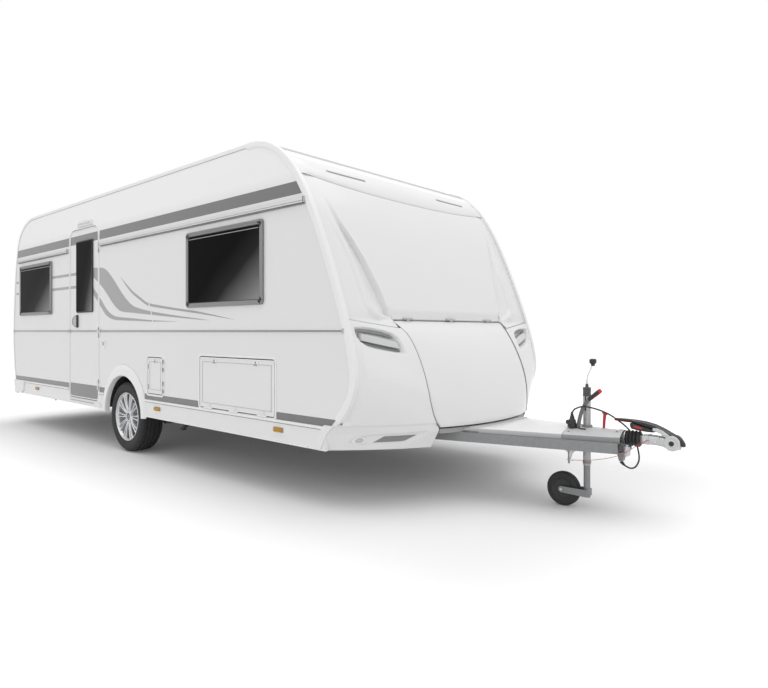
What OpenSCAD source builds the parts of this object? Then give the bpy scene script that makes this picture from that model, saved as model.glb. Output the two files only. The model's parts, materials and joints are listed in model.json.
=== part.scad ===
// Single-axle travel caravan: galvanised chassis, sandwich body with moulded
// front and rear, hinged door and hatches, and a parked drawbar on its jockey wheel.
// +X points forward along the drawbar, +Z up, and the origin lies on the ground
// under the middle of the whole trailer. Sizes are millimetres.

/* [Body] */
// Width over the flat side walls
body_w = 2320; // [2100:10:2550]
// Height of the roof's outer face above the ground
roof_z = 2550; // [2400:10:2750]
// Axle centre to the foremost point of the side wall
front_reach = 3135; // [2900:10:3800]
// Axle centre to the rearmost point of the side wall
rear_reach = 3070; // [2900:10:3800]
// Thickness of the sandwich walls, and of the doors in them
wall_t = 32; // [26:1:40]
// Thickness of the sandwich roof
roof_t = 34; // [26:1:44]
// Thickness of the moulded front and rear shells
shell_t = 28; // [18:1:32]
// Underside of the floor above the ground
floor_z = 500; // [470:5:520]
// Thickness of the floor
floor_t = 44; // [36:1:50]
// Gap all round a door or hatch in its opening
door_gap = 8; // [7:1:10]
// How far a hinge pin stands outside the wall
hinge_out = 10; // [8:1:14]

/* [Side openings] */
// Top edge of the side windows
window_top = 1975; // [1900:5:2000]
// Height of a full side window
window_h = 618; // [520:2:700]
// Height of the low kitchen window
kitchen_window_h = 412; // [300:2:480]
// Width of the two windows on the door side
window_w = 1040; // [760:10:1060]
// Thickness of a window pane outside the wall
pane_t = 18; // [12:1:24]
// Overlap of a pane on the wall round its cut-out
pane_lap = 30; // [20:1:40]
// Width of the entrance door
door_w = 716; // [600:2:740]
// Height of the entrance door
door_h = 1790; // [1600:5:1800]
// Bottom edge of the entrance door
door_z = 455; // [440:5:480]
// Centre of the entrance door behind the axle
door_back = 888; // [880:2:960]
// Width of the garage hatch
garage_w = 964; // [700:4:1000]
// Height of the garage hatch
garage_h = 400; // [300:4:420]
// Width of the cassette hatch
cassette_w = 270; // [200:2:290]
// Height of the cassette hatch
cassette_h = 320; // [240:2:340]
// Side of the inlet flap's square
inlet_w = 130; // [100:2:160]

/* [Front] */
// Height of the seam over the gas locker lid
lid_top = 1242; // [1200:2:1280]
// Height of the gas locker lid's bottom edge
lid_low = 522; // [510:2:560]
// Half width of the lid at its top
lid_half_top = 700; // [640:5:740]
// Half width of the lid at its bottom
lid_half_low = 576; // [540:4:620]
// How far the lid's bottom centre stands ahead of the side walls
nose_out = 355; // [250:5:400]
// Depth of the recessed panel between the front pillars
panel_recess = 30; // [16:2:50]

/* [Rear] */
// How far the rear light carrier stands behind the side walls
bumper_out = 185; // [120:5:220]
// Width of the rear window
rear_window_w = 1690; // [1300:10:1720]
// Height of the rear window
rear_window_h = 626; // [500:2:660]
// Bottom edge of the rear window
rear_window_z = 1367; // [1340:2:1400]

/* [Skirts and arches] */
// Bottom edge of the side skirts
skirt_z = 385; // [360:5:410]
// Depth of the side skirts
skirt_h = 160; // [140:2:170]
// How far the arch trims stand outside the walls
arch_out = 22; // [14:1:24]
// Outer radius of an arch trim
arch_r = 446; // [430:2:470]
// Radius of the opening in an arch trim
arch_hole_r = 374; // [368:2:390]

/* [Wheels] */
// Outer diameter of the road tyres
tyre_d = 675; // [640:5:690]
// Width of the road tyres
tyre_w = 225; // [175:5:235]
// Diameter of the rim's flange
rim_d = 462; // [380:2:480]
// How far the tyre's face lies inside the wall's face
tyre_inset = 30; // [24:2:60]
// Radius of the stub axles
stub_r = 20; // [15:1:24]
// Bolt circle of the wheel bolts
bolt_pcd = 112; // [98:1:120]

/* [Chassis] */
// Centre of each main rail inside the wall's face
rail_inset = 470; // [400:10:600]
// Depth of the main rails
rail_h = 150; // [110:5:160]
// Sheet thickness of rails and drawbar
steel_t = 5; // [4:1:8]
// Depth of the drawbar arms
arm_h = 65; // [56:1:84]
// Underside of the drawbar arms above the ground
arm_z = 410; // [400:2:416]
// Radius of the axle tube
axle_r = 50; // [40:1:60]
// Length of the swing arms
swing_len = 170; // [140:5:190]

/* [Corner steadies] */
// Length of a steady leg from pin to foot
steady_len = 440; // [380:5:450]
// Distance of the steadies from the middle
steady_y = 840; // [800:5:880]

/* [Drawbar head] */
// Tow ball's centre ahead of the side walls
ball_out = 1520; // [1465:5:1800]
// Height of the tow ball's centre
ball_z = 492; // [470:2:500]
// Radius of the ball socket
ball_r = 25.2; // [25.1:0.05:25.4]
// Length of the overrun housing
overrun_len = 360; // [300:5:380]

/* [Jockey wheel] */
// Jockey column behind the tow ball
jockey_back = 535; // [500:5:560]
// Outer diameter of the clamped outer tube
jockey_tube_d = 48; // [46:1:60]
// Diameter of the jockey wheel
jockey_wheel_d = 226; // [200:2:240]
// Width of the jockey wheel
jockey_wheel_w = 62; // [50:2:70]
// Trail of the jockey wheel's axle behind its column
jockey_trail = 160; // [150:2:170]

/* [Hidden] */
$fn = 64;
e = 1;                      // overshoot of cutting tools
big = 12000;                // length of tools that cut right through
tip_ahead = 66;             // ball centre to the coupling's front end
ball_cup_l = 24;            // depth of the ball socket's round wall
ball_reach = front_reach + ball_out;
axle_x = -(ball_reach + tip_ahead - rear_reach - bumper_out) / 2;
front_x0 = axle_x + front_reach;
rear_x0 = axle_x - rear_reach;
ball_x = axle_x + ball_reach;
stub_out = 72;              // end of a stub axle beyond the tyre's middle
half = body_w / 2;
inner = half - wall_t;
rail_y = half - rail_inset; // centre of each main rail from the middle
wheel_z = tyre_d / 2;
tyre_mid = half - tyre_inset - tyre_w / 2;
arch_x = axle_x + 30;
arch_z = 398;               // centre of an arch trim's outer edge
arch_hole_z = 362;          // centre of an arch trim's opening
box_r = arch_hole_r + 19;   // outer radius of a wheel box
box_w = 290;                // depth of a wheel box
wall_z = skirt_z + skirt_h; // bottom edge of the side walls
seam_z = roof_z - 250;      // where roof sheet and end mouldings meet
jockey_x = ball_x - jockey_back;
arm_front_x = ball_x - 290; // front ends of the drawbar arms
arm_back_x = front_x0 - 735;
garage_x = front_x0 - 1277;
garage_z = 556;             // garage hatch's bottom edge
cassette_x = axle_x + 635;
cassette_z = 605;           // cassette hatch's bottom edge
inlet_x = rear_x0 + 512;
inlet_z = 722;              // inlet flap's bottom edge
door_x = axle_x - door_back;
seam_x = front_x0 - 112;     // middle of the locker lid's top seam
lid_pin_x = seam_x + 10;     // hinge pins just above that seam
lid_pin_z = lid_top + 10;
carrier_top = skirt_z + 745; // top edge of the light carrier
cover_back_x = front_x0 + nose_out + 16;
steady_front_pin = front_x0 - 300 - steady_len - 40;
steady_rear_pin = rear_x0 + 160 + steady_len + 40;
steady_pin_z = floor_z - 60;
knuckle_l = 34;              // length of each hinge knuckle
pin_r = 3.5;                 // radius of the hinge pins
pin_gap = 0.08;              // clearance of a turning pin in its bore
fit = 0.3;                   // clearance of a seated part in its cut-out
skirt_out = 6;               // how far the skirts stand outside the walls
pin_y = half + hinge_out;
door_pin_x = door_x + door_w / 2 + door_gap / 2;
cassette_pin_x = cassette_x + cassette_w / 2 + door_gap / 2;
garage_pin_z = garage_z - door_gap / 2;
inlet_pin_z = inlet_z + inlet_w + door_gap / 2;
lever_t = 12;                // thickness of the handbrake lever
lever_y = -64 - fit;         // its face beside the overrun housing
// A side window as [centre x, width, height].
right_windows = [[front_x0 - 1435, window_w, window_h], [rear_x0 + 787, window_w, window_h]];
left_windows = [[front_x0 - 1645, 0.74 * window_w, window_h],
    [axle_x - 1130, 0.86 * window_w, kitchen_window_h],
    [rear_x0 + 735, 0.73 * window_w, window_h]];
// Roof lights as [centre x, length]; both are as wide as they are long.
roof_lights = [[front_x0 - 1500, 700], [axle_x - 1500, 460]];
steel = [0.62, 0.64, 0.65];
white = [0.93, 0.93, 0.93];
tint = [0.07, 0.07, 0.08];
black = [0.06, 0.06, 0.065];
grey = [0.45, 0.46, 0.47];

// Routes of the free cables.
plug_x = 3322;
plug_y = -80;
plug_cable_route = [[plug_x, plug_y, 612], [3323, -80, 632], [3342, -82, 660], [3400, -84, 681],
    [3462, -66, 672], [3506, -28, 652], [3540, 14, 626], [3574, 50, 592], [3618, 72, 552],
    [3654, 82, 500], [3684, 76, 430], [3702, 52, 365], [3690, 30, 320], [3664, 14, 308],
    [3634, 2, 322], [3608, 0, 346]];
breakaway_route = [[3352, -175, 346], [3430, -142, 349], [3520, -104, 362], [3600, -80, 386],
    [3665, -66, 418], [3722, -57, 463], [3765, -46, 492], [3792, -38.2, 505]];

function bezier(p, n) = [for (i = [0:n]) let (t = i / n, s = 1 - t)
    p[0] * s * s * s + 3 * p[1] * s * s * t + 3 * p[2] * s * t * t + p[3] * t * t * t];
function tail(list) = [for (i = [1:len(list) - 1]) list[i]];
function backwards(list) = [for (i = [len(list) - 1:-1:0]) list[i]];

// Edges of a side wall as [x, z], from the bottom up to the flat roof.
front_low = bezier([[-235, wall_z - 45], [-105, wall_z + 55], [0, wall_z + 175], [0, wall_z + 325]], 6);
front_mid = bezier([[0, wall_z + 325], [0, wall_z + 505], [-150, roof_z - 1100], [-285, roof_z - 787]], 8);
front_top = bezier([[-285, roof_z - 787], [-435, roof_z - 450], [-635, roof_z], [-1085, roof_z]], 16);
front_edge = [for (p = concat(front_low, tail(front_mid), tail(front_top))) p + [front_x0, 0]];
rear_low = bezier([[90, wall_z - 45], [40, wall_z + 105], [0, wall_z + 355], [0, wall_z + 555]], 6);
rear_mid = bezier([[0, wall_z + 555], [0, wall_z + 905], [50, roof_z - 650], [140, roof_z - 350]], 8);
rear_top = bezier([[140, roof_z - 350], [190, roof_z - 150], [420, roof_z], [720, roof_z]], 12);
rear_edge = [for (p = concat(rear_low, tail(rear_mid), tail(rear_top))) p + [rear_x0, 0]];

function front_at(z) = lookup(z, [for (p = front_edge) [p[1], p[0]]]);
function rear_at(z) = lookup(z, [for (p = rear_edge) [p[1], p[0]]]);
function smooth(a, b, x) = let (t = min(1, max(0, (x - a) / (b - a)))) t * t * (3 - 2 * t);

// Plan shape of the bulged ends: 1 on the middle line and 0 at the walls.
function bow(y) = 1 - pow(min(1, abs(y) / half), 2.2);
// Centre line of the nose as [x, z], from the lid's seam down to its bottom.
nose_line = bezier([[seam_x, lid_top], [front_x0 + 115, lid_top - 72],
    [front_x0 + 265, lid_low + 280], [front_x0 + nose_out, lid_low - 22]], 12);
function nose_at(z) = lookup(z, [for (p = backwards(nose_line)) [p[1], p[0]]]);
// Outer surface of the lower front.
function nose_x(y, z) = let (edge = front_at(max(z, wall_z - 44)),
    under = max(0, wall_z - 44 - z) * 0.55)
    edge - under + (nose_at(max(z, lid_low - 21)) - edge) * bow(y);
// Outer surface of the upper front, with its recess between the pillars.
function panel_x(y, z) = front_at(z) - panel_recess
    * (1 - smooth(lid_half_top - 20, lid_half_top + 140, abs(y)))
    * (1 - smooth(seam_z - 420, seam_z - 40, z));
// Half width of the locker lid at height z.
function lid_half(z) = lid_half_low
    + (lid_half_top - lid_half_low) * smooth(2 * lid_low - lid_top + 90, lid_top - 90, z);
// Outer surface of the rear, and of the light carrier below it.
function rear_x(y, z) = rear_at(z) + 20 * (1 - smooth(half - 280, half - 60, abs(y)));
function carrier_x(y, z) = let (edge = rear_at(max(z, wall_z - 44)))
    edge - (edge - rear_x0 + bumper_out) * (1 - pow(min(1, abs(y) / half), 4.5)) * carrier_share(z);
// Share of the carrier's depth used at height z, measured from its foot.
function carrier_share(z) = lookup(z - skirt_z, [[-15, 0.62], [120, 0.95], [190, 1], [330, 1],
    [380, 0.94], [430, 0.66], [490, 0.55], [620, 0.42], [700, 0.3], [745, 0.06]]);

// A closed shell between two grids of points with the same layout.
module skin(outer, inside) {
    rows = len(outer);
    cols = len(outer[0]);
    n = rows * cols;
    points = [each for (r = outer) r, each for (r = inside) r];
    faces = [
        for (i = [0:rows - 2], j = [0:cols - 2]) let (a = i * cols + j, c = a + cols)
            each [[a, c, c + 1], [a, c + 1, a + 1], [n + a, n + c + 1, n + c], [n + a, n + a + 1, n + c + 1]],
        for (j = [0:cols - 2]) let (a = j, b = (rows - 1) * cols + j)
            each [[a, a + 1, n + a + 1], [a, n + a + 1, n + a], [b, n + b + 1, b + 1], [b, n + b, n + b + 1]],
        for (i = [0:rows - 2]) let (a = i * cols, b = i * cols + cols - 1)
            each [[a, n + a, n + a + cols], [a, n + a + cols, a + cols],
                [b, b + cols, n + b + cols], [b, n + b + cols, n + b]]
    ];
    polyhedron(points, faces, convexity = 6);
}

function linspace(a, b, n) = [for (i = [0:n]) a + (b - a) * i / n];

// A rectangle with round corners, centred, made of squares and true circles.
module soft_rect(w, h, r) {
    square([w - 2 * r, h], center = true);
    square([w, h - 2 * r], center = true);
    for (sx = [-1, 1], sz = [-1, 1])
        translate([sx * (w / 2 - r), sz * (h / 2 - r)]) circle(r);
}

// Turns a 2D shape in X and Z into a plate from y0 to y1.
module plate_xz(y0, y1) {
    translate([0, y1, 0]) rotate([90, 0, 0]) linear_extrude(y1 - y0) children();
}

// Copies a shape of the right side, or of both sides.
module both_sides() {
    children();
    mirror([0, 1, 0]) children();
}

module window_shape(win, grow) {
    translate([win[0], window_top - win[2] / 2])
        soft_rect(win[1] + 2 * grow, win[2] + 2 * grow, 28 + grow / 2);
}

module side_outline() {
    polygon(concat(front_edge, backwards(rear_edge)));
}

module door_shape(grow) {
    translate([door_x, door_z + door_h / 2]) {
        translate([0, 100]) soft_rect(door_w + 2 * grow, door_h - 200 + 2 * grow, 105 + grow);
        translate([0, -door_h / 4]) soft_rect(door_w + 2 * grow, door_h / 2 + 2 * grow, 45 + grow);
    }
}

module garage_shape(grow) {
    translate([garage_x, garage_z + garage_h / 2])
        soft_rect(garage_w + 2 * grow, garage_h + 2 * grow, 16 + grow);
}

module cassette_shape(grow) {
    translate([cassette_x, cassette_z + cassette_h / 2])
        soft_rect(cassette_w + 2 * grow, cassette_h + 2 * grow, 16 + grow);
}

module inlet_shape(grow) {
    translate([inlet_x, inlet_z + inlet_w / 2]) soft_rect(inlet_w + 2 * grow, inlet_w + 2 * grow, 14 + grow);
}

module arch_cut() {
    translate([arch_x, arch_hole_z]) circle(box_r + 1);
}

// Body shell

module wall_right() {
    color(white) plate_xz(-half, -inner) difference() {
        side_outline();
        for (w = right_windows) window_shape(w, -pane_lap);
        door_shape(door_gap);
        garage_shape(door_gap);
        cassette_shape(door_gap);
        arch_cut();
        translate([0, wall_z - 500]) square([big, 1000], center = true);
    }
}

module wall_left() {
    color(white) plate_xz(inner, half) difference() {
        side_outline();
        for (w = left_windows) window_shape(w, -pane_lap);
        inlet_shape(door_gap);
        arch_cut();
        translate([0, wall_z - 500]) square([big, 1000], center = true);
    }
}

// Roof sheet with its two rolled ends, between the side walls.
module roof_panel() {
    top = concat([for (p = front_edge) if (p[1] > seam_z - 200) p],
        backwards([for (p = rear_edge) if (p[1] > seam_z - 200) p]));
    n = len(top);
    under = [for (i = [0:n - 1]) let (a = top[max(0, i - 1)], b = top[min(n - 1, i + 1)],
        d = (b - a) / norm(b - a)) top[i] + roof_t * [-d[1], d[0]]];
    color(white) difference() {
        plate_xz(-inner, inner) intersection() {
            polygon(concat(top, backwards(under)));
            translate([-big / 2, seam_z + 1]) square([big, 1000]);
        }
        for (h = roof_lights) translate([h[0], 0, roof_z])
            cube([h[1] - 60, h[1] - 60, 3 * roof_t], center = true);
    }
}

module roof_hatches() {
    color(tint) for (h = roof_lights) translate([h[0], 0, roof_z]) {
        difference() {
            translate([0, 0, 12]) cube([h[1], h[1], 24], center = true);
            cube([h[1] - 64, h[1] - 64, 80], center = true);
        }
        translate([0, 0, 42]) cube([h[1] + 16, h[1] + 16, 36], center = true);
    }
}

module floor_panel() {
    color([0.33, 0.34, 0.35]) difference() {
        translate([rear_x0 + 105, -inner, floor_z])
            cube([front_x0 - 240 - rear_x0 - 105, 2 * inner, floor_t]);
        for (s = [-1, 1]) translate([arch_x, s * (inner - box_w / 2), arch_hole_z])
            rotate([90, 0, 0]) cylinder(r = box_r + fit, h = box_w + 100, center = true);
        translate([door_x, -inner, floor_z]) cube([door_w + 60, 12, 3 * floor_t], center = true);
    }
}

// The half-round boxes that close the body over each road wheel.
module wheel_boxes() {
    wall = 10;
    mid_y = -inner + box_w / 2;
    color(black) both_sides() translate([arch_x, mid_y, arch_hole_z]) rotate([90, 0, 0]) difference() {
        cylinder(r = box_r, h = box_w, center = true);
        translate([0, 0, wall]) cylinder(r = box_r - wall, h = box_w, center = true);
        translate([0, 40 - box_r, 0]) cube([3 * box_r, 2 * box_r, 2 * box_w], center = true);
    }
}

module front_panel() {
    ys = linspace(-inner, inner, 24);
    zs = linspace(lid_top + 4, seam_z, 12);
    color(white) {
        skin([for (z = zs) [for (y = ys) [panel_x(y, z), y, z]]],
            [for (z = zs) [for (y = ys) [panel_x(y, z) - shell_t, y, z]]]);
        lid_hinges() {
            rotate([90, 0, 0]) cylinder(r = pin_r, h = 3 * knuckle_l, center = true);
            for (s = [-1, 1]) translate([0, s * (knuckle_l + 0.5), 0]) {
                rotate([90, 0, 0]) cylinder(r = 7, h = knuckle_l, center = true);
                translate([-24, -knuckle_l / 2, -3]) cube([24, knuckle_l, 6]);
            }
        }
    }
}

module lid_hinges() {
    for (y = [-520, 0, 520]) translate([lid_pin_x, y, lid_pin_z]) children();
}

// Lower front corners with their aprons, either side of the locker lid.
module front_corners() {
    zs = concat(linspace(skirt_z, lid_low, 4), tail(linspace(lid_low, lid_top - 4, 12)));
    function start(z) = lid_half(max(z, lid_low)) + door_gap;
    grid = [for (z = zs) [for (y = linspace(-inner, -start(z), 8)) [nose_x(y, z), y, z]]];
    back = [for (r = grid) [for (p = r) p - [shell_t + 4, 0, 0]]];
    color(white) both_sides() skin(grid, back);
}

module gas_locker_lid() {
    zs = linspace(lid_low, lid_top - 4, 14);
    grid = [for (z = zs) [for (u = linspace(-1, 1, 18)) let (y = u * lid_half(z)) [nose_x(y, z), y, z]]];
    back = [for (r = grid) [for (p = r) p - [shell_t, 0, 0]]];
    color(white) {
        skin(grid, back);
        lid_hinges() rotate([90, 0, 0]) difference() {
            union() {
                cylinder(r = 7, h = knuckle_l, center = true);
                translate([-5, -22, -knuckle_l / 2]) cube([10, 22, knuckle_l]);
            }
            cylinder(r = pin_r + pin_gap, h = 2 * knuckle_l, center = true);
        }
    }
}

// Bulkhead and floor behind the lid: the compartment for the gas bottles.
module gas_locker() {
    back = front_x0 - 560;
    shelf_end = front_at(lid_top) - panel_recess - shell_t - 30;
    tray_z = arm_z + arm_h;
    color([0.75, 0.75, 0.75]) {
        translate([back, -inner, floor_z + floor_t]) cube([22, 2 * inner, lid_top - floor_z - floor_t]);
        translate([back, -inner, lid_top]) cube([shelf_end - back, 2 * inner, 16]);
        translate([front_x0 - 240, -lid_half_low, tray_z])
            cube([240 + 300, 2 * lid_half_low, lid_low - tray_z - 12]);
    }
}

module rear_shell() {
    ys = linspace(-inner, inner, 18);
    zs = linspace(carrier_top + 4, seam_z, 11);
    skin([for (z = zs) [for (y = ys) [rear_x(y, z) + shell_t, y, z]]],
        [for (z = zs) [for (y = ys) [rear_x(y, z), y, z]]]);
}

module rear_window_prism(grow) {
    translate([rear_x0 - 200, 0, rear_window_z + rear_window_h / 2]) rotate([90, 0, 90])
        linear_extrude(600) {
            translate([0, 60]) soft_rect(rear_window_w + 2 * grow, rear_window_h - 120 + 2 * grow, 60 + grow);
            translate([0, -20])
                soft_rect(rear_window_w + 2 * grow, rear_window_h - 40 + 2 * grow, 170 + grow);
        }
}

module rear_panel() {
    color(white) difference() {
        rear_shell();
        rear_window_prism(fit);
    }
}

// Rear light carrier with the lower apron.
module carrier_shell() {
    ys = linspace(-inner, inner, 20);
    zs = concat(linspace(skirt_z - 15, skirt_z + 330, 5), linspace(skirt_z + 380, carrier_top, 7));
    grid = [for (z = zs) [for (y = ys) [carrier_x(y, z), y, z]]];
    back = [for (r = grid) [for (p = r) p + [shell_t, 0, 0]]];
    skin(back, grid);
}

// Outline of the left-hand swept lamp, as an extrusion through the carrier.
module lamp_prism(grow) {
    translate([rear_x0 - 400, 0, 0]) rotate([90, 0, 90]) linear_extrude(600)
        polygon([[510 - grow, 862 - grow], [760, 872 - grow], [980, 905 - grow],
            [1092 + grow, 965 - grow], [1092 + grow, 1082 + grow], [1040, 1086 + grow],
            [940, 1010 + grow], [780, 935 + grow], [510 - grow, 884 + grow]]);
}

module rear_bumper() {
    color(white) difference() {
        carrier_shell();
        lamp_prism(fit);
        mirror([0, 1, 0]) lamp_prism(fit);
    }
}

module skirts() {
    rear_end = rear_x0 + 110;
    front_end = front_x0 - 260;
    color(white) difference() {
        both_sides() plate_xz(-half - skirt_out, -half + 20) difference() {
            translate([rear_end, skirt_z]) square([front_end - rear_end, skirt_h]);
            arch_cut();
            translate([arch_x - box_r, skirt_z - e]) square([2 * box_r, arch_hole_z - skirt_z + 60]);
        }
        plate_xz(-half - 50, 0) door_shape(door_gap);
    }
}

module arch_trims() {
    seat = wall_z + fit;
    color(white) both_sides() {
        plate_xz(-half - arch_out, -half - skirt_out - fit) arch_ring(skirt_z - 22);
        plate_xz(-half - skirt_out - fit - 0.2, -half) arch_ring(seat);
    }
}

// Crescent of a wheel arch trim above height low.
module arch_ring(low) {
    intersection() {
        difference() {
            translate([arch_x, arch_z]) circle(arch_r);
            translate([arch_x, arch_hole_z]) circle(arch_hole_r);
        }
        translate([arch_x - big / 2, low]) square([big, 1000]);
    }
}

// Glass, hatches and rails

module pane(win) {
    plate_xz(-half - pane_t, -half) window_shape(win, 0);
}

module side_windows() {
    color(tint) {
        for (w = right_windows) pane(w);
        mirror([0, 1, 0]) for (w = left_windows) pane(w);
    }
}

module rear_window() {
    color(tint) intersection() {
        rear_shell();
        rear_window_prism(0);
    }
}

module entrance_door() {
    color(white) {
        plate_xz(-half, -inner) difference() {
            door_shape(0);
            door_window_shape(-22);
        }
        door_hinges() hinge_knuckle();
    }
}

module door_window_shape(grow) {
    translate([door_x + 28, 1741]) soft_rect(412 + 2 * grow, 762 + 2 * grow, 26 + grow / 2);
}

module door_window() {
    color(tint) plate_xz(-half - 12, -half) door_window_shape(0);
}

module garage_flap() {
    color(white) {
        plate_xz(-half, -half + 26) garage_shape(0);
        garage_hinges() hinge_knuckle();
    }
}

module cassette_flap() {
    color(white) {
        plate_xz(-half, -half + 26) cassette_shape(0);
        cassette_hinges() hinge_knuckle();
    }
}

module inlet_flap() {
    color(white) {
        mirror([0, 1, 0]) plate_xz(-half, -half + 10) inlet_shape(0);
        inlet_hinges() hinge_knuckle();
    }
}

// Hinges lie along local Z, with the door towards -X and the outside towards -Y.
module hinge_knuckle() {
    difference() {
        union() {
            cylinder(r = 8, h = knuckle_l, center = true);
            translate([-30, hinge_out - 5, -knuckle_l / 2]) cube([30, 5, knuckle_l]);
        }
        cylinder(r = pin_r + pin_gap, h = 2 * knuckle_l, center = true);
    }
}

module hinge_fixed(leaf = 26) {
    cylinder(r = pin_r, h = 3 * knuckle_l, center = true);
    for (s = [-1, 1]) translate([0, 0, s * (knuckle_l + 0.5)]) {
        cylinder(r = 8, h = knuckle_l, center = true);
        translate([0, hinge_out - 5, -knuckle_l / 2]) cube([leaf, 5, knuckle_l]);
    }
}

module door_hinges() {
    for (z = [620, 1150, 2020]) translate([door_pin_x, -pin_y, z]) children();
}

module cassette_hinges() {
    for (s = [-1, 1]) translate([cassette_pin_x, -pin_y, cassette_z + cassette_h / 2 + s * 95]) children();
}

module garage_hinges() {
    for (s = [-1, 0, 1]) translate([garage_x + s * 350, -pin_y, garage_pin_z]) rotate([0, 90, 0]) children();
}

module inlet_hinges() {
    translate([inlet_x, pin_y, inlet_pin_z]) rotate(180, [1, 0, 1]) children();
}

module wall_hinges() {
    color(white) {
        door_hinges() hinge_fixed();
        cassette_hinges() hinge_fixed();
        garage_hinges() hinge_fixed(6);
        inlet_hinges() hinge_fixed();
    }
}

module awning_rails() {
    z = 2048;
    front_end = front_x0 - 460;
    rear_end = rear_x0 + 190;
    door_side = door_w / 2 + 50;
    color([0.8, 0.81, 0.82]) {
        for (s = [[rear_end, door_x - door_side], [door_x + door_side, front_end]])
            rail_piece(s[0], s[1] - s[0], z);
        mirror([0, 1, 0]) rail_piece(rear_end, front_end - rear_end, z);
    }
}

// One length of awning rail with its open bead groove.
module rail_piece(x, len, z) {
    translate([x, -half - 12, z]) rotate([0, 90, 0]) linear_extrude(len) difference() {
        square([38, 24], center = true);
        translate([8, -1]) circle(4);
        translate([8, -8]) square([3.4, 12], center = true);
    }
}

module fridge_vents() {
    color(grey) mirror([0, 1, 0]) for (v = [[2166, 190], [1000, 240]])
        plate_xz(-half - 12, -half) translate([axle_x - 377, v[0]]) soft_rect(390, v[1], 12);
}

module tail_lamps() {
    color([0.6, 0.05, 0.05]) both_sides() intersection() {
        carrier_shell();
        lamp_prism(0);
    }
}

// Chassis

// A C-section rail along X with its open side towards the middle.
module channel(len, h, depth) {
    difference() {
        cube([len, depth, h]);
        translate([-e, steel_t, steel_t]) cube([len + 2 * e, depth, h - 2 * steel_t]);
    }
}

module chassis_rails() {
    color(steel) both_sides() translate([rear_x0 + 180, -rail_y - 25, floor_z - rail_h])
        channel(arm_back_x - rear_x0 - 180, rail_h, 50);
}

module cross_members() {
    low = floor_z - rail_h;
    color(steel) {
        translate([arm_back_x, -rail_y - 25, low]) cube([8, 2 * rail_y + 50, rail_h]);
        translate([rear_x0 + 172, -rail_y - 25, low]) cube([8, 2 * rail_y + 50, rail_h]);
    }
}

module drawbar_arms() {
    spread = rail_y - 60;
    run = arm_front_x - arm_back_x - 8;
    turn = atan((spread - 80) / run);
    color(steel) {
        both_sides() intersection() {
            translate([arm_back_x + 8, -spread - 40, arm_z]) rotate([0, 0, turn])
                translate([-60, 0, 0]) channel(run / cos(turn) + 200, arm_h, 44);
            translate([arm_back_x + 8, -big / 2, 0]) cube([run, big, 2000]);
        }
        // Hook for the end of the breakaway cable
        translate([jockey_x - 42, -175, arm_z - 86]) cylinder(r = 6, h = 86);
    }
}

module axle_tube() {
    color(steel) translate([axle_x + swing_len, 0, floor_z - rail_h - axle_r]) rotate([90, 0, 0])
        cylinder(r = axle_r, h = 2 * rail_y + 160, center = true);
}

// Trailing arm with its stub axle on each side.
module swing_arms() {
    arm_y = rail_y + 80;
    arm_t = 45;
    z = floor_z - rail_h - axle_r;
    color(steel) both_sides() {
        translate([axle_x + swing_len, -arm_y - arm_t, z]) rotate([-90, 0, 0]) cylinder(r = 46, h = arm_t);
        translate([axle_x, -arm_y - arm_t, wheel_z]) rotate([-90, 0, 0]) cylinder(r = 40, h = arm_t);
        translate([axle_x, -arm_y - arm_t, min(z, wheel_z) - 30]) cube([swing_len, arm_t, 80]);
        translate([axle_x, -tyre_mid - stub_out, wheel_z]) rotate([-90, 0, 0])
            cylinder(r = stub_r, h = tyre_mid + stub_out - arm_y - 20);
    }
}

module steady_leg(front, side) {
    dir = front ? 1 : -1;
    x = front ? steady_front_pin : steady_rear_pin;
    start = front ? 0 : -steady_len;
    color(steel) translate([x, side * steady_y, steady_pin_z]) {
        difference() {
            translate([start, -25, -20]) cube([steady_len, 50, 30]);
            translate([start - e, -19, -14]) cube([steady_len + 2 * e, 38, 30]);
        }
        rotate([90, 0, 0]) cylinder(r = 13, h = 76, center = true);
        translate([dir * steady_len, 0, -37]) cube([30, 110, 40], center = true);
    }
}

module steady_brackets() {
    color(steel) for (x = [steady_front_pin, steady_rear_pin], s = [-1, 1])
        translate([x, s * steady_y, steady_pin_z]) difference() {
            for (k = [-1, 1]) translate([0, k * 33, 14]) cube([90, 6, 92], center = true);
            rotate([90, 0, 0]) cylinder(r = 13 + fit, h = 200, center = true);
        }
}

// Road wheels

module tyre(side) {
    color(black) translate([axle_x, side * tyre_mid, wheel_z]) rotate([90, 0, 0])
        rotate_extrude() difference() {
        translate([0, -tyre_w / 2]) {
            translate([rim_d / 2 - 8, 0]) square([tyre_d / 2 - 30 - rim_d / 2 + 8, tyre_w]);
            translate([rim_d / 2 - 8, 22]) square([tyre_d / 2 - rim_d / 2 + 8, tyre_w - 44]);
            for (z = [26, tyre_w - 26]) translate([tyre_d / 2 - 26, z]) circle(26);
        }
        square([2 * (rim_d / 2 - 8), 3 * tyre_w], center = true);
    }
}

module rim(side) {
    r = rim_d / 2;
    color([0.8, 0.8, 0.81]) translate([axle_x, side * tyre_mid, wheel_z])
        rotate([side * 90, 0, 0]) difference() {
        union() {
            difference() {
                cylinder(r = r - 8 - fit, h = tyre_w - 10, center = true);
                cylinder(r = r - 24, h = tyre_w, center = true);
            }
            translate([0, 0, -stub_out - 14]) cylinder(r = 72, h = 46);
            translate([0, 0, -stub_out + 28]) cylinder(r = 115, h = 62);
            for (a = [0:36:359]) rotate([0, 0, a])
                translate([40, -13, -stub_out - 10]) cube([r - 52, 26, 28]);
        }
        translate([0, 0, -stub_out - 2]) cylinder(r = stub_r + fit, h = 400);
        for (a = [0:72:359]) rotate([0, 0, a + 18])
            translate([bolt_pcd / 2, 0, -stub_out - 40]) cylinder(r = 7, h = 66);
    }
}

// Drawbar head

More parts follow.
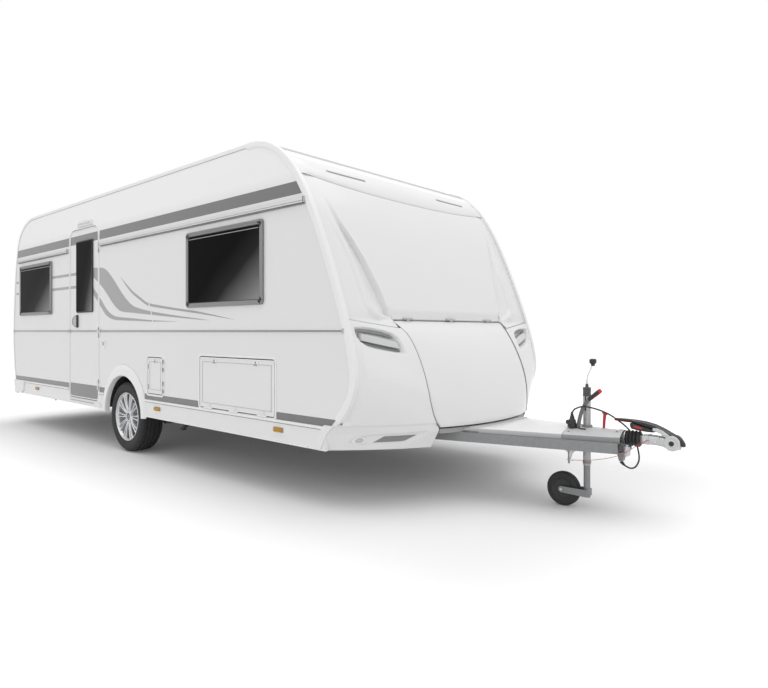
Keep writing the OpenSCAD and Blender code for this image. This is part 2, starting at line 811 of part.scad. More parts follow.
module drawbar_cover() {
    xs = linspace(cover_back_x, arm_front_x, 12);
    color([0.8, 0.81, 0.82]) difference() {
        skin([for (x = xs) cover_section(x, 5)], [for (x = xs) cover_section(x, 0)]);
        translate([jockey_x, 0, 0]) cylinder(r = jockey_tube_d / 2 + 6, h = 1200);
        translate([jockey_x - 62, lever_y - lever_t - 4, 0]) cube([84, lever_t + 8, 1200]);
    }
}

// Half width of the cover at x, following the drawbar arms.
function cover_half(x) = lookup(x, [[arm_back_x, rail_y - 20], [arm_front_x, 86]]);
// Height of the cover's shoulder and of its crown at x.
function cover_side(x) = arm_z + arm_h + 32;
function cover_crown(x) = lookup(x - cover_back_x, [[0, 0], [60, 8], [140, 30], [420, 38], [900, 40]]);
// One cross-section of the cover, drawn in by t for its inner face.
function cover_section(x, t) = let (w = cover_half(x) - t, low = arm_z + arm_h,
    side = cover_side(x) - t, crown = cover_crown(x))
    [for (p = [[-1, 0], [-1, 0.75], [-0.97, 1], [-0.75, 1], [-0.5, 1], [-0.25, 1], [0, 1],
        [0.25, 1], [0.5, 1], [0.75, 1], [0.97, 1], [1, 0.75], [1, 0]])
        [x, p[0] * w, low + p[1] * (side - low) + (p[1] == 1 ? crown * (1 - pow(p[0], 2)) : 0)]];

module overrun_device() {
    block_z = arm_z + 12;
    color(steel) difference() {
        union() {
            translate([arm_front_x - overrun_len + 60, -64, block_z])
                cube([overrun_len - 60, 128, arm_h - 12]);
            translate([arm_front_x - 50, 0, ball_z + 8]) rotate([0, 90, 0]) cylinder(r = 40, h = 56);
            translate([arm_front_x - 30, -84, arm_z - 4]) cube([30, 168, 4]);
            plate_xz(-18, 18) translate([arm_front_x, arm_z])
                polygon([[-45, -2], [-30, -60], [-8, -60], [14, 10], [-10, 10]]);
        }
        translate([jockey_x, 0, 0]) cylinder(r = jockey_tube_d / 2 + fit, h = 1200);
    }
}

module bellows() {
    ring = 19;
    color(black) translate([arm_front_x + 6, 0, ball_z + 8]) rotate([0, 90, 0]) difference() {
        for (i = [0:4]) translate([0, 0, i * ring]) {
            cylinder(r = 43, h = ring);
            translate([0, 0, 4]) cylinder(r = 50, h = ring - 8);
        }
        translate([0, 0, -e]) cylinder(r = 27, h = 6 * ring);
    }
}

module coupling_head() {
    z = ball_z + 8;
    color([0.75, 0.76, 0.77]) difference() {
        union() {
            translate([arm_front_x + 6, 0, z]) rotate([0, 90, 0])
                cylinder(r = 25, h = ball_x - arm_front_x - 40);
            translate([ball_x, 0, ball_z - ball_cup_l]) cylinder(r = 42, h = ball_cup_l + 32);
            translate([ball_x - 150, -36, ball_z - 16]) cube([110, 72, 58]);
            translate([ball_x - 60, -36, ball_z - 16]) cube([60, 72, 46]);
            for (s = [-37, 37]) translate([ball_x, s, z]) rotate([90, 0, 0])
                cylinder(r = 45, h = 18, center = true);
            translate([ball_x, -24, ball_z - 8]) cube([tip_ahead, 48, 30]);
        }
        translate([ball_x, 0, ball_z - 60]) cylinder(r = ball_r, h = 60);
        translate([ball_x, 0, ball_z]) sphere(r = ball_r);
        translate([ball_x, 0, ball_z - 60 - ball_cup_l]) cube([200, 200, 120], center = true);
    }
}

module stabiliser_handle() {
    top = [[-350, 117], [-245, 118], [-167, 113], [-108, 101], [-22, 62], [40, 34]];
    low = [[40, 30], [-22, 48], [-50, 50.3], [-108, 72], [-160, 78], [-240, 100], [-350, 103]];
    color(black) translate([ball_x, 0, ball_z + 8]) plate_xz(-27.7, 27.7) polygon(concat(top, low));
}

module handbrake_lever() {
    foot = arm_z + 16;
    color(black) plate_xz(lever_y - lever_t, lever_y) translate([jockey_x, 0])
        polygon([[-50, foot], [-18, foot], [-4, 556], [16, 668], [60, 720], [130, 780],
            [118, 800], [38, 736], [-8, 675], [-26, 556]]);
}

module jockey_tube() {
    r = jockey_tube_d / 2;
    color(steel) difference() {
        union() {
            translate([jockey_x, 0, 290]) cylinder(r = r, h = 500);
            translate([jockey_x - 40, -38, arm_z - 14]) cube([80, 76, 26]);
        }
        translate([jockey_x, 0, 280]) cylinder(r = r - 2.5, h = 495);
    }
}

module jockey_crank() {
    color(black) {
        translate([jockey_x, 0, 790]) cylinder(r = jockey_tube_d / 2 + 1, h = 52);
        translate([jockey_x, 0, 842]) cylinder(r = 5, h = 30);
        translate([jockey_x - 5, -5, 864]) cube([50, 10, 8]);
        translate([jockey_x + 40, 0, 864]) cylinder(r = 5, h = 80);
        translate([jockey_x + 40, 0, 940]) cylinder(r = 16, h = 45);
    }
}

// Sliding inner tube with the trailing fork on its foot.
module jockey_inner() {
    r = jockey_tube_d / 2 - 2.9;
    color(steel) difference() {
        translate([jockey_x, 0, 142]) cylinder(r = r, h = 466);
        translate([jockey_x, 0, 184]) cylinder(r = r - 2.5, h = 500);
        translate([jockey_x, 0, 100]) cylinder(r = 8 + pin_gap, h = 74);
    }
}

// Trailing fork that swivels on a pin in the foot of the inner tube.
module jockey_fork() {
    wide = jockey_wheel_w / 2 + 6;
    axle_z = jockey_wheel_d / 2;
    color(steel) {
        translate([jockey_x, 0, 82]) cylinder(r = 22, h = 59.7);
        translate([jockey_x, 0, 141]) cylinder(r = 8, h = 22);
        translate([jockey_x - 8, -wide - 6, 88]) cube([22, 2 * wide + 12, 46]);
        for (s = [-1, 1]) translate([jockey_x, s * (wide + 3), 0]) {
            plate_xz(-3, 3) {
                polygon([[-jockey_trail, axle_z - 20], [0, 88], [14, 88], [14, 134], [0, 134],
                    [-jockey_trail, axle_z + 20]]);
                translate([-jockey_trail, axle_z]) circle(20);
            }
        }
        translate([jockey_x - jockey_trail, 0, axle_z]) rotate([90, 0, 0])
            cylinder(r = 8, h = 2 * wide + 12, center = true);
    }
}

module jockey_wheel() {
    r = jockey_wheel_d / 2;
    color(black) translate([jockey_x - jockey_trail, 0, r]) rotate([90, 0, 0]) difference() {
        cylinder(r = r, h = jockey_wheel_w, center = true);
        cylinder(r = 8 + pin_gap, h = 2 * jockey_wheel_w, center = true);
    }
}

// Plug and cables

// Parked 13-pin plug on its holder, tilted back.
module parking_plug() {
    base = cover_top(plug_x + 26, plug_y + 24) + 0.6;
    top = plug_cable_route[0][2];
    color(black) translate([plug_x, plug_y, 0]) {
        translate([-26, -24, base]) cube([52, 48, top - 48 - base]);
        translate([0, 0, top - 50]) cylinder(r = 25, h = 36);
        translate([0, 0, top - 14]) cylinder(r = 15, h = 13.4);
    }
}

function cover_top(x, y) = cover_side(x) + cover_crown(x) * (1 - pow(y / cover_half(x), 2));

module cable(points, r, sides) {
    route = curve(points, 4);
    skin_tube(route, r, sides);
}

// Smooth curve through hand-placed points.
function curve(p, n) = [for (i = [0:len(p) - 2], k = [0:n - 1]) spot(p, i, k / n), p[len(p) - 1]];
function spot(p, i, t) = let (a = p[max(0, i - 1)], b = p[i], c = p[i + 1], d = p[min(len(p) - 1, i + 2)])
    0.5 * (2 * b + (c - a) * t + (2 * a - 5 * b + 4 * c - d) * t * t + (3 * b - a - 3 * c + d) * t * t * t);

module skin_tube(route, r, sides) {
    n = len(route);
    rings = [for (i = [0:n - 1]) let (d = route[min(n - 1, i + 1)] - route[max(0, i - 1)], w = d / norm(d),
        u = cross(w, abs(w[1]) > 0.9 ? [1, 0, 0] : [0, 1, 0]), a = u / norm(u), b = cross(w, a))
        for (k = [0:sides - 1]) route[i] + r * (a * cos(360 * k / sides) + b * sin(360 * k / sides))];
    polyhedron(rings, concat(
        [[for (k = [0:sides - 1]) k]],
        [for (i = [0:n - 2], k = [0:sides - 1]) let (a = i * sides + k, b = i * sides + (k + 1) % sides)
            each [[a, a + sides, b], [b, a + sides, b + sides]]],
        [[for (k = [sides - 1:-1:0]) (n - 1) * sides + k]]));
}

module plug_cable() {
    color(black) cable(plug_cable_route, 5, 8);
}

module breakaway_cable() {
    color([0.7, 0.08, 0.08]) cable(breakaway_route, 1.6, 8);
}

chassis_rails();
cross_members();
drawbar_arms();
axle_tube();
swing_arms();
floor_panel();
wall_left();
wall_right();
roof_panel();
roof_hatches();
front_panel();
front_corners();
gas_locker();
gas_locker_lid();
rear_panel();
rear_window();
rear_bumper();
tail_lamps();
wheel_boxes();
skirts();
arch_trims();
side_windows();
entrance_door();
door_window();
garage_flap();
cassette_flap();
inlet_flap();
wall_hinges();
awning_rails();
fridge_vents();
steady_brackets();
steady_leg(true, 1);  // steady_front_left
steady_leg(true, -1);  // steady_front_right
steady_leg(false, 1);  // steady_rear_left
steady_leg(false, -1);  // steady_rear_right
tyre(1);  // tyre_left
tyre(-1);  // tyre_right
rim(1);  // rim_left
rim(-1);  // rim_right
drawbar_cover();
overrun_device();
bellows();
coupling_head();
stabiliser_handle();
handbrake_lever();
jockey_tube();
jockey_crank();
jockey_inner();
jockey_fork();
jockey_wheel();
parking_plug();
plug_cable();
breakaway_cable();
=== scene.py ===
import json
import math
import bmesh
import bpy
from mathutils import Matrix, Vector


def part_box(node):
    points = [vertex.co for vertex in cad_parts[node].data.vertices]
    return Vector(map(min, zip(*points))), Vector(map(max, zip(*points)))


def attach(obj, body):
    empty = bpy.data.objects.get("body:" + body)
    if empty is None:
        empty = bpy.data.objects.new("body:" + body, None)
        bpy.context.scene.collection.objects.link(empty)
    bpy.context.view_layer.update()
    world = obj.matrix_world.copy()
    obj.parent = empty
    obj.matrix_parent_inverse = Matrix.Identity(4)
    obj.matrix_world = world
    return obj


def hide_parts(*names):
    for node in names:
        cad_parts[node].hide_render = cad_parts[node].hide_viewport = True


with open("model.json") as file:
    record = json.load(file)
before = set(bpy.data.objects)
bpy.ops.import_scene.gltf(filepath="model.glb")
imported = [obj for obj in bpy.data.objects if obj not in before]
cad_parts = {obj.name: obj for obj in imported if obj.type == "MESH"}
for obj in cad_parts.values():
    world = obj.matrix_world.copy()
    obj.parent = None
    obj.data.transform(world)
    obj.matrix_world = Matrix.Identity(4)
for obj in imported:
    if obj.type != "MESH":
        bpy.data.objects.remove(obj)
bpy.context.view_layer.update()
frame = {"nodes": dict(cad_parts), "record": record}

nodes = frame["nodes"]
scene = bpy.context.scene
print("frame loaded with", len(nodes), "nodes")

shot = {
    "place": (5.068, -3.859, 1.165),
    "heading": 41.896,   # degrees from +Y, so the lens looks back along the door side
    "lens": 28.67,
    "shiftY": -0.0169,
}
bpy.ops.object.camera_add(location=shot["place"],
                          rotation=(math.radians(90), 0, math.radians(shot["heading"])))
camera = bpy.context.object
camera.data.lens = shot["lens"]
camera.data.shift_y = shot["shiftY"]
scene.camera = camera


# the body's main measures, read from the frame
wallLow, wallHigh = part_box("wall_right")
leftLow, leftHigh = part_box("wall_left")
bodyHalf = leftHigh.y                     # outer face of the side walls
frontX = wallHigh.x                       # foremost point of the side walls
rearX = wallLow.x
roofZ = wallHigh.z
innerHalf = leftLow.y
sillZ = wallLow.z
seamZ = roofZ - 0.25                      # where the roof sheet meets the end mouldings
lidLow, lidHigh = 0.522, 1.242            # gas locker lid, bottom and seam
carrierTop = 1.13                         # top edge of the rear light carrier
edgeFoot = sillZ - 0.044                  # below it the walls' edges no longer curve
tyreLow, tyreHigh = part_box("tyre_right")
wheelX = (tyreLow.x + tyreHigh.x) / 2
wheelZ = (tyreLow.z + tyreHigh.z) / 2
wheelY = (tyreLow.y + tyreHigh.y) / 2
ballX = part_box("coupling_head")[1].x - 0.066


def bezier(ends, steps):
    points = []
    for k in range(steps + 1):
        t = k / steps
        s = 1 - t
        w = (s * s * s, 3 * s * s * t, 3 * s * t * t, t * t * t)
        points.append(tuple(sum(w[i] * ends[i][axis] for i in range(4)) for axis in (0, 1)))
    return points


def joined(*runs):
    points = list(runs[0])
    for run in runs[1:]:
        points += run[1:]
    return points


# edges of the side walls as (x, z), from the bottom up to the flat roof
frontEdge = [(frontX + x, z) for x, z in joined(
    bezier([(-0.235, sillZ - 0.045), (-0.105, sillZ + 0.055), (0, sillZ + 0.175), (0, sillZ + 0.325)], 12),
    bezier([(0, sillZ + 0.325), (0, sillZ + 0.505), (-0.15, roofZ - 1.1), (-0.285, roofZ - 0.787)], 16),
    bezier([(-0.285, roofZ - 0.787), (-0.435, roofZ - 0.45), (-0.635, roofZ), (-1.085, roofZ)], 32))]
rearEdge = [(rearX + x, z) for x, z in joined(
    bezier([(0.09, sillZ - 0.045), (0.04, sillZ + 0.105), (0, sillZ + 0.355), (0, sillZ + 0.555)], 12),
    bezier([(0, sillZ + 0.555), (0, sillZ + 0.905), (0.05, roofZ - 0.65), (0.14, roofZ - 0.35)], 16),
    bezier([(0.14, roofZ - 0.35), (0.19, roofZ - 0.15), (0.42, roofZ), (0.72, roofZ)], 24))]
noseLine = bezier([(frontX - 0.112, lidHigh), (frontX + 0.115, lidHigh - 0.072),
                   (frontX + 0.265, lidLow + 0.28), (frontX + 0.355, lidLow - 0.022)], 24)[::-1]


def lookup(line, z):
    # x of a line of (x, z) points at height z
    if z <= line[0][1]:
        return line[0][0]
    for (x0, z0), (x1, z1) in zip(line, line[1:]):
        if z <= z1:
            return x0 + (x1 - x0) * (z - z0) / max(z1 - z0, 1e-9)
    return line[-1][0]


def ease(a, b, x):
    t = min(1, max(0, (x - a) / (b - a)))
    return t * t * (3 - 2 * t)


def frontAt(z):
    return lookup(frontEdge, z)


def rearAt(z):
    return lookup(rearEdge, z)


def noseX(y, z):
    # outer surface of the lower front
    edge = frontAt(max(z, edgeFoot))
    under = max(0, edgeFoot - z) * 0.55
    bow = 1 - min(1, abs(y) / bodyHalf) ** 2.2
    return edge - under + (lookup(noseLine, max(z, lidLow - 0.021)) - edge) * bow



def carrierX(y, z):
    # outer surface of the rear light carrier
    edge = rearAt(max(z, edgeFoot))
    fall = [(0.62, 0.37), (0.95, 0.505), (1, 0.575), (1, 0.715), (0.94, 0.765), (0.66, 0.815),
            (0.55, 0.875), (0.42, 1.005), (0.3, 1.085), (0.06, 1.13)]
    return edge - (edge - rearX + 0.185) * (1 - min(1, abs(y) / bodyHalf) ** 4.5) * lookup(fall, z)


# mesh tools
def onlyThis(piece):
    if bpy.context.object and bpy.context.object.mode != "OBJECT":
        bpy.ops.object.mode_set(mode="OBJECT")
    bpy.ops.object.select_all(action="DESELECT")
    if piece:
        piece.select_set(True)
        bpy.context.view_layer.objects.active = piece


def edit(piece, kind="FACE"):
    onlyThis(piece)
    bpy.ops.object.mode_set(mode="EDIT")
    bpy.ops.mesh.select_mode(type=kind)


def choose(piece, test, kind="FACE"):
    # selects what passes test(middle, element) and counts it
    bpy.ops.mesh.select_mode(type=kind)
    bpy.ops.mesh.select_all(action="DESELECT")
    shape = bmesh.from_edit_mesh(piece.data)
    count = 0
    if kind == "FACE":
        items = [(f.calc_center_median(), f) for f in shape.faces]
    elif kind == "EDGE":
        items = [((e.verts[0].co + e.verts[1].co) / 2, e) for e in shape.edges]
    else:
        items = [(v.co.copy(), v) for v in shape.verts]
    for middle, item in items:
        if test(middle, item):
            item.select_set(True)
            count += 1
    shape.select_flush_mode()
    bmesh.update_edit_mesh(piece.data)
    return count


def settle(piece, angle=32, weld=0.0):
    # back to object mode, with faces outwards and edges sharp only above the angle
    edit(piece)
    bpy.ops.mesh.select_all(action="SELECT")
    if weld:
        bpy.ops.mesh.remove_doubles(threshold=weld)
    bpy.ops.mesh.normals_make_consistent(inside=False)
    bpy.ops.object.mode_set(mode="OBJECT")
    bpy.ops.object.shade_smooth_by_angle(angle=math.radians(angle))
    return piece


def modify(piece, kind, **settings):
    onlyThis(piece)
    modifier = piece.modifiers.new(kind.lower(), kind)
    for key, value in settings.items():
        setattr(modifier, key, value)
    bpy.ops.object.modifier_apply(modifier=modifier.name)
    return piece


facings = {   # width, height and outward directions
    "right": ((1, 0, 0), (0, 0, 1), (0, -1, 0)),
    "left": ((-1, 0, 0), (0, 0, 1), (0, 1, 0)),
    "front": ((0, 1, 0), (0, 0, 1), (1, 0, 0)),
    "rear": ((0, -1, 0), (0, 0, 1), (-1, 0, 0)),
    "top": ((1, 0, 0), (0, 1, 0), (0, 0, 1)),
    "under": ((1, 0, 0), (0, -1, 0), (0, 0, -1)),
}


def face(piece, facing, origin):
    # turns a piece drawn flat, with +Z outwards, to a side of the caravan
    turn = Matrix(facings[facing]).transposed().to_4x4()
    piece.data.transform(Matrix.Translation(origin) @ turn)
    piece.data.update()
    return piece


def moved(piece, *place):
    piece.data.transform(Matrix.Translation(place))
    return piece

def wear(piece, body, finish):
    # gives a piece its body and its material
    piece.data.materials.clear()
    for one in (finish if isinstance(finish, (list, tuple)) else [finish]):
        piece.data.materials.append(one)
    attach(piece, body)
    return piece


def rename(piece, name):
    piece.name = name
    piece.data.name = name
    return piece


def flatFace(name, outline):
    # one face with this outline of (width, height) points: a filled circle with its rim moved
    onlyThis(None)
    bpy.ops.mesh.primitive_circle_add(vertices=len(outline), radius=1, fill_type="NGON")
    piece = rename(bpy.context.object, name)
    for vertex, (u, v) in zip(piece.data.vertices, outline):
        vertex.co = (u, v, 0)
    return piece


def cutSheet(name, outline, depth, edge=0.0):
    # a flat film or plate cut to an outline, its back on z = 0
    piece = flatFace(name, outline)
    edit(piece)
    bpy.ops.mesh.select_all(action="SELECT")
    bpy.ops.mesh.extrude_region_move(TRANSFORM_OT_translate={"value": (0, 0, depth)})
    if edge:
        roundRim(piece, depth, edge)
    return flatSides(settle(piece))


def flatSides(piece):
    # faces square to an axis stay flat, so that a rounded rim doesn't bend their shading
    for polygon in piece.data.polygons:
        if max(abs(n) for n in polygon.normal) > 0.9995:
            polygon.use_smooth = False
    return piece


def roundRim(piece, depth, edge):
    # rounds the edges of the outer face
    choose(piece, lambda m, e: all(v.co.z > depth * 0.99 for v in e.verts)
           and len(e.link_faces) == 2 and abs(e.calc_face_angle(0)) > 0.7, "EDGE")
    bpy.ops.mesh.bevel(affect="EDGES", offset=edge, segments=3)


def ringSheet(name, outline, band, depth, edge=0.0):
    # an open frame inside an outline, its back on z = 0
    piece = flatFace(name, outline)
    edit(piece)
    bpy.ops.mesh.select_all(action="SELECT")
    bpy.ops.mesh.inset(thickness=band)
    bpy.ops.mesh.delete(type="FACE")
    bpy.ops.mesh.select_all(action="SELECT")
    bpy.ops.mesh.extrude_region_move(TRANSFORM_OT_translate={"value": (0, 0, depth)})
    if edge:
        roundRim(piece, depth, edge)
    return flatSides(settle(piece))


def softOutline(x, z, width, height, corners, steps=6):
    # a rectangle with a radius for each corner: low left, low right, top right, top left
    points = []
    signs = [(-1, -1, 180), (1, -1, 270), (1, 1, 0), (-1, 1, 90)]
    for (sx, sz, start), r in zip(signs, corners):
        for k in range(steps + 1):
            angle = math.radians(start + 90 * k / steps)
            points.append((x + sx * (width / 2 - r) + r * math.cos(angle),
                           z + sz * (height / 2 - r) + r * math.sin(angle)))
    return points


def softPlate(name, width, height, radius, depth, edge=0.0, segments=6):
    return cutSheet(name, softOutline(0, 0, width, height, (radius,) * 4, segments), depth, edge)


def softRing(name, width, height, radius, band, depth, edge=0.0):
    return ringSheet(name, softOutline(0, 0, width, height, (radius,) * 4), band, depth, edge)


def loft(name, rows, ring=True, capped=True, angle=32):
    # a skin over rows of points: a grid laid out row by row, closed round each row where it is a ring
    across, along = len(rows[0]), len(rows)
    onlyThis(None)
    bpy.ops.mesh.primitive_grid_add(x_subdivisions=across - 1 + ring, y_subdivisions=along - 1, size=1)
    piece = rename(bpy.context.object, name)
    wide = across + ring
    for number, vertex in enumerate(piece.data.vertices):
        row, column = divmod(number, wide)
        vertex.co = rows[row][column % across]
    edit(piece)
    bpy.ops.mesh.select_all(action="SELECT")
    bpy.ops.mesh.remove_doubles(threshold=1e-5)
    if capped and ring:
        bpy.ops.mesh.select_mode(type="EDGE")
        bpy.ops.mesh.select_all(action="DESELECT")
        bpy.ops.mesh.select_non_manifold(extend=False)
        bpy.ops.mesh.edge_face_add()
        bpy.ops.mesh.select_all(action="DESELECT")
        bpy.ops.mesh.select_non_manifold(extend=False)
        bpy.ops.mesh.fill_holes(sides=0)
    return settle(piece, angle)


def turned(name, profile, steps=48, angle=32):
    # a piece turned on the local Z axis: a circle, extruded and drawn in or out from (radius, z) to (radius, z)
    profile = [(max(radius, 4e-6), z) for radius, z in profile]      # a point is a ring small enough to weld
    onlyThis(None)
    bpy.ops.mesh.primitive_circle_add(vertices=steps, radius=profile[0][0], location=(0, 0, profile[0][1]),
                                      fill_type="NOTHING")
    piece = rename(bpy.context.object, name)
    bpy.ops.object.transform_apply(location=True)
    edit(piece, "EDGE")
    bpy.ops.mesh.select_all(action="SELECT")
    for (r0, z0), (r1, z1) in zip(profile, profile[1:]):
        bpy.ops.mesh.extrude_edges_move(TRANSFORM_OT_translate={"value": (0, 0, z1 - z0)})
        if abs(r1 - r0) > 1e-9:
            bpy.ops.transform.resize(value=(r1 / r0, r1 / r0, 1), center_override=(0, 0, z1))
    return settle(piece, angle, weld=2e-6)


def merged(name, parts):
    # several pieces made one
    onlyThis(parts[0])
    for part in parts:
        part.select_set(True)
    bpy.context.view_layer.objects.active = parts[0]
    bpy.ops.object.join()
    return rename(bpy.context.object, name)


def copied(piece, name, matrix=None, flip=False):
    # a copy with its own mesh
    other = piece.copy()
    other.data = piece.data.copy()
    for key in list(other.keys()):
        del other[key]
    other.parent = None
    other.matrix_world = Matrix.Identity(4)
    scene.collection.objects.link(other)
    if matrix is not None:
        other.data.transform(matrix)
    if flip:
        other.data.flip_normals()
    return rename(other, name)


acrossY = Matrix.Diagonal((1, -1, 1, 1))   # mirrors the right side to the left
bothSides = ((-1, "Right"), (1, "Left"))   # sign of y, and the ending of a piece's name


def smoothCopy(name, node, angle=30, weld=0.0002):
    # a CAD node's shape with its triangles joined, so that its curves shade as curves
    piece = copied(nodes[node], name)
    piece.hide_render = False
    piece.hide_viewport = False
    edit(piece)
    bpy.ops.mesh.select_all(action="SELECT")
    bpy.ops.mesh.remove_doubles(threshold=weld)
    bpy.ops.object.mode_set(mode="OBJECT")
    bpy.ops.object.shade_smooth_by_angle(angle=math.radians(angle))
    return flatSides(piece)


# materials
paintedHighlightBand = (2.16, 2.26)     # heights between which the walls take a painted highlight, a brighter tone standing in for the light on the upper wall

class Wire:
    # a node's socket that takes part in sums
    def __init__(self, finish, socket):
        self.finish, self.socket = finish, socket

    def sum(self, operation, a, b):
        return self.finish.node("ShaderNodeMath", {"operation": operation}, [a, b])

    def __add__(self, other):
        return self.sum("ADD", self, other)

    def __mul__(self, other):
        return self.sum("MULTIPLY", self, other)

    def __sub__(self, other):
        return self.sum("SUBTRACT", self, other)

    def __truediv__(self, other):
        return self.sum("DIVIDE", self, other)

    def __rsub__(self, other):
        return self.sum("SUBTRACT", other, self)

    def __rtruediv__(self, other):
        return self.sum("DIVIDE", other, self)

    def __pow__(self, other):
        return self.sum("POWER", self, other)

    def __gt__(self, other):
        return self.sum("GREATER_THAN", self, other)

    def __lt__(self, other):
        return self.sum("LESS_THAN", self, other)

    __radd__ = __add__
    __rmul__ = __mul__

    def out(self, name):
        return Wire(self.finish, self.socket.node.outputs[name])


class Finish:
    def __init__(self, name, owner=None):
        self.material = owner or bpy.data.materials.new(name)
        self.material.use_nodes = True
        self.tree = self.material.node_tree
        self.tree.nodes.clear()
        self.spot = self.node("ShaderNodeTexCoord").out("Object")

    def node(self, kind, settings=None, links=(), output=0):
        made = self.tree.nodes.new(kind)
        for key, value in (settings or {}).items():
            if key == "stops":
                ramp = made.color_ramp
                while len(ramp.elements) < len(value):
                    ramp.elements.new(0.5)
                for element, (position, colour) in zip(ramp.elements, value):
                    element.position, element.color = position, colour
            else:
                setattr(made, key, value)
        for key, value in (links.items() if isinstance(links, dict) else enumerate(links)):
            if isinstance(value, Wire):
                self.tree.links.new(value.socket, made.inputs[key])
            else:
                made.inputs[key].default_value = value
        return Wire(self, made.outputs[output]) if len(made.outputs) else None

    def noise(self, scale, detail=3, spot=None):
        return self.node("ShaderNodeTexNoise", {}, {"Vector": spot or self.spot, "Scale": scale,
                                                    "Detail": detail})

    def stretched(self, x, y, z):
        return self.node("ShaderNodeMapping", {}, {"Vector": self.spot, "Scale": (x, y, z)})

    def blend(self, mask, a, b):
        return self.node("ShaderNodeMix", {"data_type": "RGBA"}, {0: mask, 6: a, 7: b}, 2)

    def ramp(self, value, *stops):
        return self.node("ShaderNodeValToRGB", {"stops": stops}, {"Fac": value})

    def axes(self):
        parts = self.node("ShaderNodeSeparateXYZ", {}, [self.spot])
        return parts, parts.out("Y"), parts.out("Z")

    def bump(self, height, distance, strength=1.0):
        return self.node("ShaderNodeBump", {}, {"Height": height, "Strength": strength, "Distance": distance})

    def done(self, **values):
        names = {key: " ".join(part.capitalize() if part != "ior" else "IOR" for part in key.split("_"))
                 for key in values}
        shader = self.node("ShaderNodeBsdfPrincipled", {},
                           {names[key]: value for key, value in values.items()})
        self.node("ShaderNodeOutputMaterial", {}, {"Surface": shader})
        return self.material


def tone(r, g=None, b=None):
    return (r, r if g is None else g, r if b is None else b, 1)


def paint(name, colour, roughness, spread=0.02, grain=260, height=0.00004, coat=0.25, patch=1.4, upper=None):
    # sprayed or moulded surface: faint drift of colour, fine orange peel, uneven gloss; with upper, a painted
    # highlight that brightens the colour towards the roof
    f = Finish(name)
    drift = f.noise(patch, 4)
    fine = f.noise(grain, 2)
    light = tone(*[c * (1 + spread) for c in colour[:3]])
    deep = tone(*[c * (1 - spread) for c in colour[:3]])
    base = f.blend(drift, deep, light)
    if upper:
        # painted highlight: a brighter tone above the upper stripe, standing in for the light where the wall starts
        # to turn into the roof
        z = f.axes()[2]
        share = f.node("ShaderNodeMapRange", {}, {"Value": z, "From Min": paintedHighlightBand[0],
                                                  "From Max": paintedHighlightBand[1], "To Min": 0, "To Max": 1})
        base = f.blend(share, base, tone(upper))
    return f.done(base_color=base, roughness=roughness - 0.05 + drift * 0.1,
                  coat_weight=coat, coat_roughness=0.12, normal=f.bump(fine, height))


def plastic(name, colour, roughness, grain=900, height=0.00008, spread=0.12):
    # grained moulded plastic
    f = Finish(name)
    cells = f.node("ShaderNodeTexVoronoi", {"feature": "SMOOTH_F1"}, {"Vector": f.spot, "Scale": grain})
    cloud = f.noise(14, 5)
    light = tone(*[c * (1 + spread) for c in colour[:3]])
    deep = tone(*[c * (1 - spread) for c in colour[:3]])
    return f.done(base_color=f.blend(cloud, deep, light), roughness=roughness - 0.06 + cloud * 0.12,
                  normal=f.bump(cells, height))


def steel(name, colour, roughness, spangle=36, metallic=0.85, dirt=0.3):
    # zinc-coated steel with its crystal spangle and a dull bloom
    f = Finish(name)
    crystal = f.node("ShaderNodeTexVoronoi", {}, {"Vector": f.spot, "Scale": spangle}, 1)
    shade = f.node("ShaderNodeSeparateColor", {}, [crystal])
    bloom = f.noise(5, 6)
    fine = f.noise(420, 3)
    light = tone(*[c * 1.07 for c in colour[:3]])
    deep = tone(*[c * 0.93 for c in colour[:3]])
    dull = tone(*[c * 0.8 for c in colour[:3]])
    base = f.blend(bloom * dirt, f.blend(shade, deep, light), dull)
    return f.done(base_color=base, metallic=metallic, roughness=roughness + shade * 0.1 + bloom * 0.14,
                  normal=f.bump(fine + shade * 0.5, 0.00006))


def lens(name, colour, pitch, depth=0.0004, glow=None, gloss=0.5, coat=0.7):
    # moulded lamp lens with fine optic ribs
    f = Finish(name)
    x, y, z = f.axes()
    ribs = f.node("ShaderNodeMath", {"operation": "SINE"}, [(x + y + z) * (2 * math.pi / pitch)])
    mottle = f.noise(60, 2)
    deep = tone(*[c * 0.72 for c in colour[:3]])
    values = {"emission_color": glow, "emission_strength": 0.25} if glow else {}
    values["specular_ior_level"] = gloss
    return f.done(base_color=f.blend(mottle, deep, colour), roughness=0.16 + mottle * 0.08, coat_weight=coat,
                  coat_roughness=0.04, normal=f.bump(ribs, depth), **values)


def rubber(name, colour, roughness, grain=240, height=0.00012):
    f = Finish(name)
    cloud = f.noise(9, 6)
    fine = f.noise(grain, 4)
    light = tone(*[c * 1.5 for c in colour[:3]])
    return f.done(base_color=f.blend(cloud, colour, light), roughness=roughness - 0.08 + cloud * 0.16,
                  normal=f.bump(fine, height))


def alloyFinish():
    f = Finish("castAlloy")
    grain = f.noise(700, 2)
    brushed = f.noise(30, 4)
    return f.done(base_color=f.blend(brushed, tone(0.58, 0.585, 0.6), tone(0.7, 0.705, 0.715)), metallic=0.72,
                  roughness=0.26 + brushed * 0.14, coat_weight=0.35, coat_roughness=0.1,
                  normal=f.bump(grain, 0.00003))


def railFinish():
    # extruded aluminium, drawn along X
    f = Finish("extrudedRail")
    lines = f.noise(60, 4, f.stretched(0.4, 40, 40))
    return f.done(base_color=f.blend(lines, tone(0.62, 0.625, 0.63), tone(0.74, 0.745, 0.75)), metallic=0.35,
                  roughness=0.34 + lines * 0.12, normal=f.bump(lines, 0.00005))


